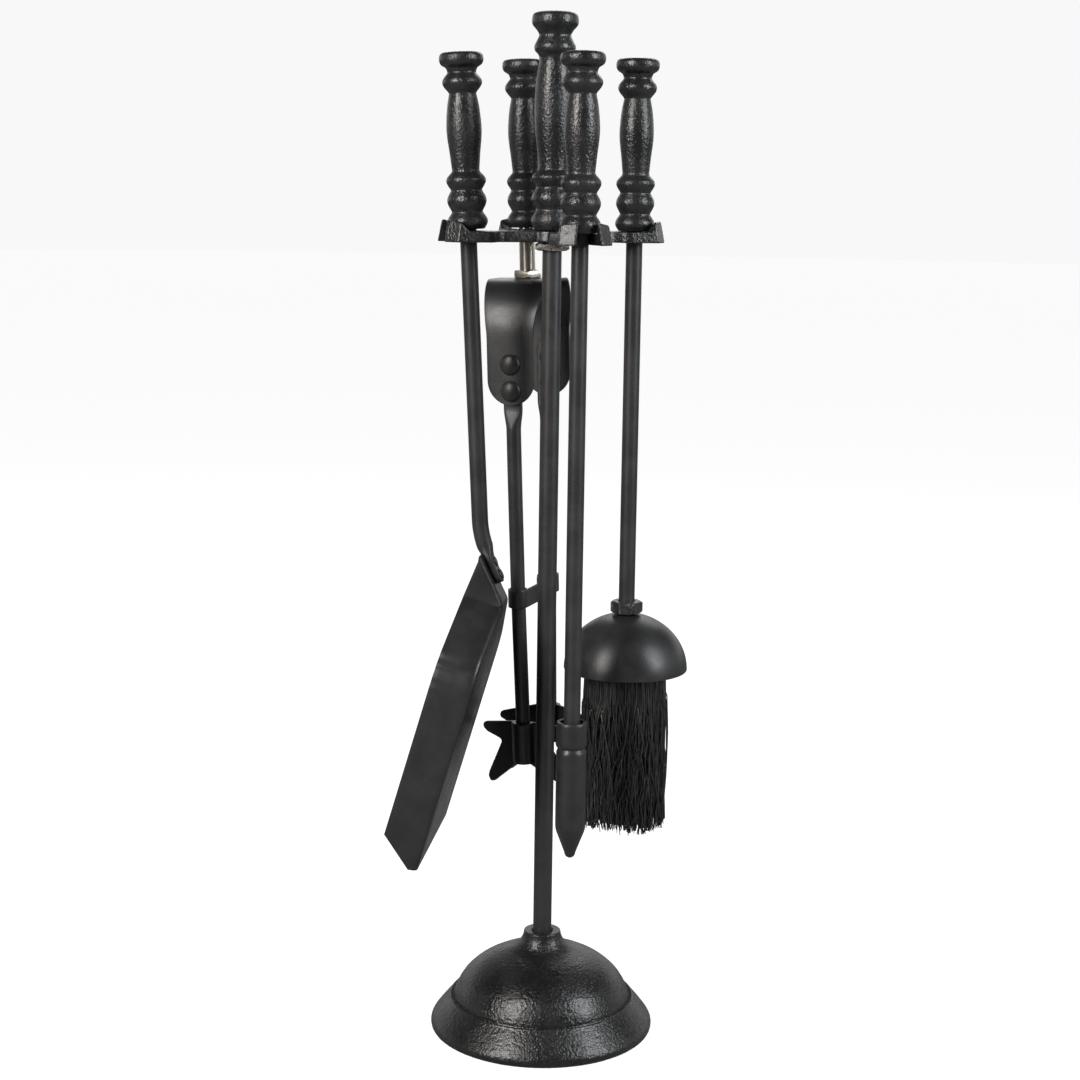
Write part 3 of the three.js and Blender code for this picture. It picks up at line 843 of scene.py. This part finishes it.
def domeOutline():
    rim, r, h, wall = brush["rim"], brush["dome"], brush["height"], brush["wall"]
    outside = arc((0, rim), r, h, 1.5, 82, 34)
    inside = arc((0, rim), r - wall, h - wall, 80, 1.5, 30)
    top = rim + h
    crown = [(5.6, top - 0.1), (5.45, top - 0.4), (5.45, top - wall)]
    foot = [(r - wall, rim + 0.5), (r - wall + 0.3, rim + 0.1), (r - 0.4, rim), (r, rim + 0.4)]
    return outside + crown + inside + foot + [outside[0]]


brushDome = turnedPiece("brushDome", domeOutline(), 96)
fitted(brushDome, brushPlace, "brush", "brush_dome", sheetPaint)
brushRod = rodPiece("brushRod", rodRadius, brush["rodEnd"], rodTop)
fitted(brushRod, brushPlace, "brush", "brush_rod", satinPaint)
brushNut = hexNut("brushNut", 18, 5.45, 274.6, 282.6, 30)
fitted(brushNut, brushPlace, "brush", "brush_nut", nutPaint, 25)


def makeBristles():
    # rings of wavy strands round a solid core, some of them crossing the others
    dice = random.Random(brush["seed"])
    top, end, steps = brush["bristleTop"], brush["bristleEnd"], brush["steps"]
    strands = bpy.data.curves.new("strands", "CURVE")
    strands.dimensions = "3D"
    strands.bevel_depth = brush["strand"] * mm
    strands.bevel_resolution = 0
    strands.resolution_u = 1
    strands.use_fill_caps = True
    roots = []
    for radius, count in brush["layers"]:
        for i in range(count):
            roots.append((radius * dice.uniform(0.97, 1.0), fullTurn * (i + dice.random()) / count))
    for _ in range(brush["inner"]):
        roots.append((brush["innerRadius"] * math.sqrt(dice.random()), fullTurn * dice.random()))
    for radius, angle in roots:
        stray = dice.random() < 0.1
        tuft = math.sin(3 * angle + 1) + 0.8 * math.sin(7 * angle + radius) + 1.8
        reach = end + dice.uniform(0.4, 4.5) + 1.6 * tuft
        reach += dice.uniform(4, 16) if dice.random() < 0.15 else 0
        flare = dice.uniform(-1.2, 0.8) + (dice.uniform(0.4, 1.4) if stray else 0)
        phase, sway = dice.random() * fullTurn, dice.uniform(0.3, 0.95)
        twist = dice.gauss(0, 0.05) + (dice.choice((-1, 1)) * dice.uniform(0.15, 0.5) if stray else 0)
        wave = dice.uniform(9, 20)
        kink = dice.uniform(0.25, 0.7)
        line = strands.splines.new("POLY")
        line.points.add(steps)
        for i in range(steps + 1):
            t = i / steps
            z = top + (reach - top) * t
            r = radius * (0.955 + 0.045 * blendStep(t, 0, 0.35)) + flare * t * t
            r += sway * math.sin(z / wave * math.pi + phase) * min(1, t * 1.6)
            hem = brush["bundle"] + 0.6 - (0.9 + 0.9 * math.sin(8 * angle + 6 * t)) * min(1, t * 2)
            r = hem + 0.9 if stray and t > 0.3 else min(r, hem)
            a = angle + twist * blendStep(t, kink - 0.25, 1) + 0.055 * math.sin(11 * angle) * t * t
            a += sway * 0.06 * math.cos(z / wave * math.pi * 0.83 + 2 * phase) * min(1, t * 1.6)
            line.points[i].co = (r * math.cos(a) * mm, r * math.sin(a) * mm, z * mm, 1)
            line.points[i].radius = 1 - 0.35 * blendStep(t, 0.8, 1)
    bundle = bpy.data.objects.new("brushBristles", strands)
    bpy.context.scene.collection.objects.link(bundle)
    choose(bundle)
    bpy.ops.object.convert(target="MESH")
    core = turnedPiece("bristleCore", refine(
        [(0, 137), (17, 137), (21.8, 141), (22.4, 160), (22.4, 251), (6, 251.4), (0, 243)], 4), 48)
    return joined("brushBristles", [bpy.context.view_layer.objects["brushBristles"], core])


fitted(makeBristles(), brushPlace, "brush", "brush_bristles", fibre, 60)
print("poker and brush built")


# Shovel

pan = {
    "front": Vector((-39.6, 0, 128.9)), "along": Vector((0.327, 0, 0.945)).normalized(),
    "half": 58, "depth": 26, "shoulder": 131, "floorEnd": 166, "tongue": 12,
    "rise": (26, 2, 23),  # from the floor's end to the back's top: along, sideways, inward
    "sheet": 1.5, "fold": 3.4, "foldSteps": 5, "shoulderRadius": 30,
    "pucker": 0.7, "puckerPitch": 7.5, "puckerReach": 12, "grid": 1.9,
}
pan["inward"] = Vector((-pan["along"].z, 0, pan["along"].x))
strap = {"thickness": 4, "half": 7, "length": 31, "bend": 12, "rivets": (17, 26)}


def panPoint(along, side, inward):
    return pan["front"] + pan["along"] * along + pan["inward"] * inward + Vector((0, side, 0))


def panPlace():
    place = Matrix.Identity(4)
    for i, column in enumerate((pan["along"], Vector((0, 1, 0)), pan["inward"])):
        for j in range(3):
            place[j][i] = column[j]
    return shift(*pan["front"]) @ place


def makePan():
    half, depth, tongue = pan["half"], pan["depth"], pan["tongue"]
    shoulder, back = pan["shoulder"], pan["floorEnd"]
    turn = math.atan2(half - tongue, back - shoulder)
    radius = pan["shoulderRadius"]
    run = radius * math.tan(turn / 2)
    bend = arc((shoulder - run, half - radius), radius, radius, 90, 90 - math.degrees(turn), 8)
    nearSide = [(0, half), (shoulder * 0.5, half)] + bend + [(back, tongue)]
    nearSide = nearSide[:1] + refine(nearSide[1:], pan["grid"])
    outline = [(x, -y, 0) for x, y in nearSide] + [(x, y, 0) for x, y in reversed(nearSide)]
    sheet = drawLine("shovelPan", outline, closed=True)
    bpy.ops.mesh.edge_face_add()
    bpy.ops.mesh.remove_doubles(threshold=1e-6)
    pick(sheet, "EDGE", lambda e: middleOf(e).x > 1)
    for rise in (5.6, 4.4, 4, 4, 4, depth - 22):
        bpy.ops.mesh.extrude_edges_move(TRANSFORM_OT_translate={"value": (0, 0, rise * mm)})
    along, side, inward = pan["rise"]

    def shapeRim(x, y, z):
        if x < 1 and z > 1:
            return (-1 + 17 * (z - 5.6) / (depth - 5.6), y, z)
        if x > back - 1:
            part = z / depth
            return (x + along * part, y + math.copysign(side * part, y), z * inward / depth)
        # the sheet is gathered where the side wall turns into the shoulder
        near = math.exp(-((x - shoulder + run * 0.2) / pan["puckerReach"]) ** 2) * (z / depth) ** 1.5
        ripple = pan["pucker"] * near * math.sin((x - shoulder) / pan["puckerPitch"] * fullTurn)
        return (x, y - math.copysign(ripple + pan["pucker"] * near, y), z)

    bpy.ops.object.mode_set(mode="OBJECT")
    reshape(sheet, shapeRim)
    choose(sheet)
    bpy.ops.object.mode_set(mode="EDIT")

    def isFold(edge):
        a, b = [v.co / mm for v in edge.verts]
        onFloor = abs(a.z) < 0.1 and abs(b.z) < 0.1 and (a.x > 1 or b.x > 1)
        upright = a.x > back - 1 and b.x > back - 1 and abs(a.z - b.z) > 1
        return onFloor or upright

    pick(sheet, "EDGE", isFold)
    bpy.ops.mesh.bevel(offset=pan["fold"] * mm, segments=pan["foldSteps"], profile=0.5,
                       affect="EDGES", clamp_overlap=True)
    bpy.ops.mesh.select_all(action="SELECT")
    bpy.ops.mesh.remove_doubles(threshold=1e-6)
    bpy.ops.mesh.normals_make_consistent(inside=False)
    bpy.ops.object.mode_set(mode="OBJECT")
    floor = max(sheet.data.polygons, key=lambda face: face.area)
    applyModifier(sheet, "SOLIDIFY", thickness=pan["sheet"] * mm, use_even_offset=True,
                  offset=1 if floor.normal.z > 0 else -1)
    applyModifier(sheet, "BEVEL", width=0.45 * mm, segments=3, limit_method="ANGLE",
                  angle_limit=math.radians(60))
    tidyMesh(sheet)
    return sheet


shovelPan = makePan()
backTop = panPoint(pan["floorEnd"] + pan["rise"][0], 0, pan["rise"][2])
backDown = (panPoint(pan["floorEnd"], 0, 0) - backTop).normalized()
backOut = Vector((-backDown.z, 0, backDown.x))
strapOffset = strap["thickness"] / 2 + 0.3
bendPoint = Vector((0, 0, backTop.z + (strapOffset + backTop.x * backOut.x) / backOut.z))


def makeShovelRod():
    # a straight rod, flattened at one end and then bent down onto the back of the pan
    straight = rodTop - (bendPoint.z + strap["bend"])
    length = straight + strap["bend"] * 1.93 + strap["length"] - strap["bend"]
    stations = [(rodRadius, s) for s in range(12, int(straight) - 12, 12)]
    fine = [(rodRadius, straight - 12 + i) for i in range(int(length - straight + 12))]
    outline = [(0, -0.001), (4.7, 0)] + stations + fine + [(rodRadius, length), (0, length)]
    rod = turnedPiece("shovelRod", outline, 48)
    bendStart = bendPoint + Vector((0, 0, strap["bend"]))
    bendEnd = bendPoint + backDown * strap["bend"]
    curveLength = length - straight - (strap["length"] - strap["bend"])

    def route(s):
        if s < straight:
            return Vector((0, 0, rodTop - s)), Vector((0, 0, -1))
        t = (s - straight) / curveLength
        if t < 1:
            spot = bendStart * (1 - t) ** 2 + 2 * bendPoint * t * (1 - t) + bendEnd * t * t
            way = (bendPoint - bendStart) * (1 - t) + (bendEnd - bendPoint) * t
            return spot, way.normalized()
        return bendEnd + backDown * (s - straight - curveLength), backDown

    def shapeRod(x, y, s):
        flat = blendStep(s, straight + curveLength * 0.7, straight + curveLength * 1.2)
        size = math.hypot(x, y) or 1
        cx, cy = x / size, y / size
        power = 1 - 0.62 * flat
        across = flatten(cy, power) * size * (1 + (strap["half"] / rodRadius - 1) * flat)
        through = flatten(cx, power) * size * (1 + (strap["thickness"] / 2 / rodRadius - 1) * flat)
        tail = length - s
        if tail < strap["half"]:
            across *= math.sqrt(max(0, 1 - ((strap["half"] - tail) / strap["half"]) ** 2.4))
        spot, way = route(s)
        outward = Vector((-way.z, 0, way.x))
        return spot + outward * through + Vector((0, across, 0))

    reshape(rod, shapeRod)
    tidyMesh(rod)
    return rod


shovelRod = makeShovelRod()
firstRivet = rivetModel("shovelRivet1", (3.8, 1.3), 2, 6.4, (3.6, 1.5))
shovelRivets = (firstRivet, copyPiece(firstRivet, "shovelRivet2"))
for i, (rivet, along) in enumerate(zip(shovelRivets, strap["rivets"])):
    seat = bendPoint + backDown * along + backOut * (strap["thickness"] / 2 + 0.1)
    lean = Vector((0, 0, 1)).rotation_difference(-backOut).to_matrix().to_4x4()
    fitted(rivet, shovelPlace @ shift(*seat) @ lean, "shovel", f"shovel_rivet_{i + 1}", sheetPaint,
           50)
fitted(shovelPan, shovelPlace @ panPlace(), "shovel", "shovel_pan", sheetPaint, 40)
fitted(shovelRod, shovelPlace, "shovel", "shovel_rod", satinPaint, 50)
print("shovel built")


# Tongs. Their own Y axis points from the near arm to the far arm

tongs = {
    "bowTop": 486, "bowHalf": 33, "bowWidth": 31.6, "crownHalf": 23.5, "band": 2,
    "bowBottom": 407, "crown": 8.5, "tongueHalf": 6.25, "tongueThickness": 3,
    "armTop": 445, "armEnd": 171.5, "armRadius": 4.7, "rivets": (433, 416),
    # height, and how far the arm's middle line is from the tongs' axis there
    "armStops": ((445, 29.2), (399, 29.2), (360, 29), (285, 27.8), (200, 24.2), (171.5, 23.2)),
}

stud = rodPiece("tongsStud", 5, 475.7, rodTop, longest=4)
fitted(stud, tongsPlace, "tongs", "tongs_stud", brightZinc)
for nutName, node, low, high, turn in (("tongsUpperNut", "tongs_upper_nut", 486.3, 491.3, 21.5),
                                       ("tongsLowerNut", "tongs_lower_nut", 476.7, 483.7, 0)):
    nut = hexNut(nutName, 17, 5.3, low, high, turn)
    fitted(nut, tongsPlace, "tongs", node, brightZinc, 25)


def bowLine():
    # middle line of the band, from the crown down one leg, as (across, height)
    half, top = tongs["bowHalf"] - tongs["band"] / 2, tongs["bowTop"] - tongs["band"] / 2
    crown, shoulder, pull = tongs["crown"], tongs["bowTop"] - tongs["bowHalf"], 18
    line = [(0, top), (crown * 0.5, top)]
    line += cubicCurve((crown, top), (crown + pull - 5, top), (half, shoulder + pull),
                       (half, shoulder), 16)
    straight = [shoulder - 4 * i for i in range(1, 8)]
    centre = tongs["bowBottom"] + tongs["bowWidth"] / 2
    line += [(half, z) for z in straight if z > centre + 1]
    line += [(half, centre - tongs["bowWidth"] / 2 * math.sin(math.radians(90 * i / 14)))
             for i in range(15)]
    return line


def makeBowHalf():
    # on the near side; the band is widest over the crown, and its leg ends in a half round
    half, centre = tongs["bowWidth"] / 2, tongs["bowBottom"] + tongs["bowWidth"] / 2
    band = drawLine("bowHalf", [(-half, -y, z) for y, z in bowLine()])
    for _ in range(12):
        bpy.ops.mesh.extrude_region_move(
            TRANSFORM_OT_translate={"value": (2 * half / 12 * mm, 0, 0)})
    bpy.ops.object.mode_set(mode="OBJECT")

    def shapeBand(x, y, z):
        below = min(half, max(0, centre - z))
        drop = min(tongs["bowHalf"], max(0, tongs["bowTop"] - 1 - z))
        bend = math.acos(1 - drop / tongs["bowHalf"]) / (math.pi / 2)
        across = 1 + (tongs["crownHalf"] / half - 1) * (1 - bend) ** 1.1
        return (x * across * math.sqrt(max(0, 1 - (below / half) ** 2)), y, z)

    reshape(band, shapeBand)
    tidyMesh(band)
    applyModifier(band, "SOLIDIFY", thickness=tongs["band"] * mm, offset=0, use_even_offset=True)
    choose(band)
    bpy.ops.object.mode_set(mode="EDIT")

    def isRim(edge):
        if abs(middleOf(edge).y) < 0.2 or len(edge.link_faces) < 2:
            return False
        return edge.calc_face_angle(0) > math.radians(55)

    pick(band, "EDGE", isRim)
    bpy.ops.mesh.bevel(offset=0.5 * mm, segments=3, affect="EDGES", clamp_overlap=True)
    tidyMesh(band)
    return band


def armOffset(z):
    stops = tongs["armStops"]
    for (high, a), (low, b) in zip(stops, stops[1:]):
        if z >= low:
            return b + (a - b) * (z - low) / (high - low)
    return stops[-1][1]


def makeArm():
    # the near arm, its top pressed flat to a tongue
    top, end, r = tongs["armTop"], tongs["armEnd"], tongs["armRadius"]
    outline = [(0, end), (r - 0.5, end), (r, end + 0.5)]
    outline += [(r, z) for z in range(180, 390, 6)] + [(r, 388 + i) for i in range(int(top - 388))]
    arm = turnedPiece("arm", outline + [(r, top - 0.3), (0, top)], 40)
    half, thick = tongs["tongueHalf"], tongs["tongueThickness"] / 2

    def shapeArm(x, y, z):
        flat = blendStep(z, 391, 405)
        size = math.hypot(x, y) or 1
        power = 1 - 0.62 * flat
        across = flatten(x / size, power) * size * (1 + (half / r - 1) * flat)
        through = flatten(y / size, power) * size * (1 + (thick / r - 1) * flat)
        if z > top - half:
            across *= math.sqrt(max(0, 1 - ((z - top + half) / half) ** 2))
        middle = (armOffset(z - 5) + armOffset(z) + armOffset(z + 5)) / 3
        return (across, through - middle, z)

    reshape(arm, shapeArm)
    tidyMesh(arm)
    return arm


jaw = {
    "top": 197, "at": 24.1, "sweep": math.radians(21), "thickness": 2.5, "channel": 7.5,
    "bore": 5.0, "height": 27.6, "voxel": 0.5,
    "half": [(0, 0), (8.3, 0.2), (32.0, 4.6), (33.7, 5.6), (34.3, 7.6), (33.6, 9.4), (30.5, 11.5),
             (20, 13.9), (18.1, 14.6), (17.8, 16.2), (30.2, 38.9), (31.2, 42), (30.2, 44.7),
             (28.4, 45.7), (26.0, 45.2), (3.6, 28.1), (0, 27.6)],
}


def makeJaw():
    # the near claw: two swept wings and a channel pressed round the arm
    deep = jaw["thickness"]
    wing = flatPiece("wing", jaw["half"], (0, deep, 0), lambda p: (p[0], -deep, -p[1]))
    settle(wing, Matrix.Rotation(jaw["sweep"], 4, "Z"))
    other = copyPiece(wing, "otherWing")
    settle(other, Matrix.Diagonal((-1, 1, 1, 1)))
    tidyMesh(other)
    wings = joined("wings", [wing, other])
    settle(wings, shift(0, -tongs["armRadius"] * 0.2, 0))
    r, h = jaw["channel"], jaw["height"]
    channel = turnedPiece("channel", [(0, -h), (r, -h), (r, 0), (0, 0)], 64)
    cutAway(channel, boxPiece((0, 31.6, -30), (80, 60, 90)))
    claw = joined("claw", [wings, channel])
    bore = turnedPiece("clawBore", [(0, -70), (jaw["bore"], -70), (jaw["bore"], 6), (0, 6)], 64)
    applyModifier(claw, "REMESH", mode="VOXEL", voxel_size=jaw["voxel"] * mm)
    applyModifier(claw, "SMOOTH", factor=0.5, iterations=4)
    cutAway(claw, bore)
    # it leans as the foot of the arm does
    settle(claw, shift(0, -jaw["at"], jaw["top"]) @ Matrix.Rotation(math.atan2(1.0, 28.5), 4, "X"))
    return claw


# The far half repeats the near half, turned half round
bowModel = makeBowHalf()
armModel = makeArm()
jawModel = makeJaw()
tongsRivet = rivetModel("tongsRivet", (6.8, 3.2), 2, 5.9, (4, 1.8))
for armName, turn in (("near", 0), ("far", math.pi)):
    body = armName + "_arm"
    place = tongsPlace @ Matrix.Rotation(turn, 4, "Z")
    band = copyPiece(bowModel, armName + "Bow")
    settle(band, place)
    smoothShade(band, 35)
    band.data.materials.append(sheetPaint)
    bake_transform(band)
    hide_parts("tongs_bow")
    arm = copyPiece(armModel, armName + "Arm")
    fitted(arm, place, body, armName + "_arm", satinPaint, 50)
    claw = copyPiece(jawModel, armName + "Jaw")
    fitted(claw, place, body, armName + "_jaw", sheetPaint, 60)
    for i, height in enumerate(tongs["rivets"]):
        rivet = copyPiece(tongsRivet, f"{armName}Rivet{i + 1}")
        outside = shift(0, -tongs["bowHalf"] - 0.1, height) @ Matrix.Rotation(-math.pi / 2, 4, "X")
        fitted(rivet, place @ outside, body, f"{armName}_rivet_{i + 1}", sheetPaint,
               50)
for model in (bowModel, armModel, jawModel, tongsRivet):
    discard(model)

guide = {"bottom": 275, "top": 287, "thickness": 1.2, "middle": 5.9, "armAt": 27.8, "free": 7}


def makeGuide():
    r, at = guide["middle"], guide["armAt"]
    plan = arc((0, -at), r, r, 48, 360, 30)
    plan += [(r, y) for y in range(-24, 26, 6)]
    plan += arc((0, at), r, r, 0, 180, 18)
    plan += [(-r, at - guide["free"] * i / 7) for i in range(1, 8)]
    strip = drawLine("armGuide", [(x, y, guide["bottom"]) for x, y in plan])
    rows = 6
    rise = (guide["top"] - guide["bottom"]) / rows
    for _ in range(rows):
        bpy.ops.mesh.extrude_region_move(TRANSFORM_OT_translate={"value": (0, 0, rise * mm)})
    bpy.ops.object.mode_set(mode="OBJECT")
    middle = (guide["bottom"] + guide["top"]) / 2

    def roundEnd(x, y, z):
        past = (at - guide["free"] + 3 - y) / 3 if x < 0 < y else 0
        keep = 1 - 0.3 * min(1, max(0, past)) ** 3
        return (x, y, middle + (z - middle) * keep)

    reshape(strip, roundEnd)
    tidyMesh(strip)
    applyModifier(strip, "SOLIDIFY", thickness=guide["thickness"] * mm, offset=0, use_even_offset=True)
    applyModifier(strip, "BEVEL", width=0.25 * mm, segments=2, limit_method="ANGLE",
                  angle_limit=math.radians(60))
    return strip


fitted(makeGuide(), tongsPlace, "near_arm", "arm_guide", sheetPaint, 50)
print("tongs built")

# CAD parts that stay, with their own finish
for node, material in (("base_washer", brightZinc), ("base_nut", brightZinc), ("brush_plug", plugWood)):
    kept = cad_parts[node]
    kept.data.materials.clear()
    kept.data.materials.append(material)


# Floor, light and camera

studio = {
    "floorSize": 14,
    "floorGlow": 0.92,  # keeps the far floor as pale as the near one
    "skyBack": 0.95,  # brightness behind the tools, which edges catch
    "skyFront": 0.1,  # and on the camera's side
    "skyTop": 0.12,
    "paper": 0.94,  # what the camera sees behind them
    "camera": (-5, -1280.5, 550.1),
    "pitch": 80,
    "roll": 0.8,
    "lens": 68.33,
}

clearSelection()
bpy.ops.mesh.primitive_circle_add(vertices=96, radius=studio["floorSize"], fill_type="NGON",
                                  location=(0, 0, -0.0002))
floor = bpy.context.object
floor.name = "studioFloor"
floorPaper, floorTree, floorShader = newMaterial("floorPaper")
floorShader.inputs["Base Color"].default_value = (0.3, 0.3, 0.3, 1)
floorShader.inputs["Roughness"].default_value = 0.95
floorShader.inputs["Specular IOR Level"].default_value = 0.1
floorShader.inputs["Emission Color"].default_value = (1, 1, 1, 1)
glow = times(floorTree, floorTree.nodes.new("ShaderNodeLightPath").outputs["Is Camera Ray"],
             studio["floorGlow"])
floorTree.links.new(glow, floorShader.inputs["Emission Strength"])
floor.data.materials.append(floorPaper)

world = bpy.data.worlds.new("studioSky")
bpy.context.scene.world = world
world.use_nodes = True
sky = world.node_tree
heading = sky.nodes.new("ShaderNodeTexCoord")
parts = sky.nodes.new("ShaderNodeSeparateXYZ")
sky.links.new(heading.outputs["Generated"], parts.inputs[0])
behind = mapRange(sky, parts.outputs["Y"], -0.25, 0.75, studio["skyFront"], studio["skyBack"])
height = times(sky, behind, mapRange(sky, parts.outputs["Z"], 0.08, 0.5, 1.0, studio["skyTop"]))
grey = sky.nodes.new("ShaderNodeCombineColor")
for channel in ("Red", "Green", "Blue"):
    sky.links.new(height, grey.inputs[channel])
sky.links.new(grey.outputs[0], sky.nodes["Background"].inputs["Color"])
seen = sky.nodes.new("ShaderNodeBackground")
seen.inputs["Color"].default_value = (1, 1, 1, 1)
seen.inputs["Strength"].default_value = studio["paper"]
swap = sky.nodes.new("ShaderNodeMixShader")
sky.links.new(sky.nodes.new("ShaderNodeLightPath").outputs["Is Camera Ray"], swap.inputs["Fac"])
sky.links.new(sky.nodes["Background"].outputs[0], swap.inputs[1])
sky.links.new(seen.outputs[0], swap.inputs[2])
sky.links.new(swap.outputs[0], sky.nodes["World Output"].inputs["Surface"])


def addLamp(name, spot, aim, size, watts, tint):
    lamp = bpy.data.lights.new(name, "AREA")
    lamp.shape = "RECTANGLE"
    lamp.size, lamp.size_y = size
    lamp.energy = watts
    lamp.color = tint
    holder = bpy.data.objects.new(name, lamp)
    bpy.context.scene.collection.objects.link(holder)
    holder.location = spot
    holder.rotation_euler = (Vector(aim) - Vector(spot)).to_track_quat("-Z", "Y").to_euler()


addLamp("leftBox", (-1.25, -1.35, 1.25), (0, 0, 0.35), (0.55, 1.3), 46, (1.0, 0.965, 0.93))
addLamp("rightBox", (1.55, -0.75, 1.15), (0, 0, 0.35), (0.6, 1.3), 30, (0.95, 0.98, 1.0))
addLamp("backBox", (0.3, 1.7, 1.4), (0, 0, 0.3), (1.4, 0.8), 8, (1.0, 1.0, 1.0))

lens = bpy.data.cameras.new("viewpoint")
lens.lens = studio["lens"]
lens.sensor_width = 36
viewpoint = bpy.data.objects.new("viewpoint", lens)
bpy.context.scene.collection.objects.link(viewpoint)
viewpoint.matrix_world = (shift(*studio["camera"])
                          @ Matrix.Rotation(math.radians(studio["pitch"]), 4, "X")
                          @ Matrix.Rotation(math.radians(studio["roll"]), 4, "Z"))
bpy.context.scene.camera = viewpoint
bpy.context.scene.view_settings.view_transform = "Standard"
print("studio set")
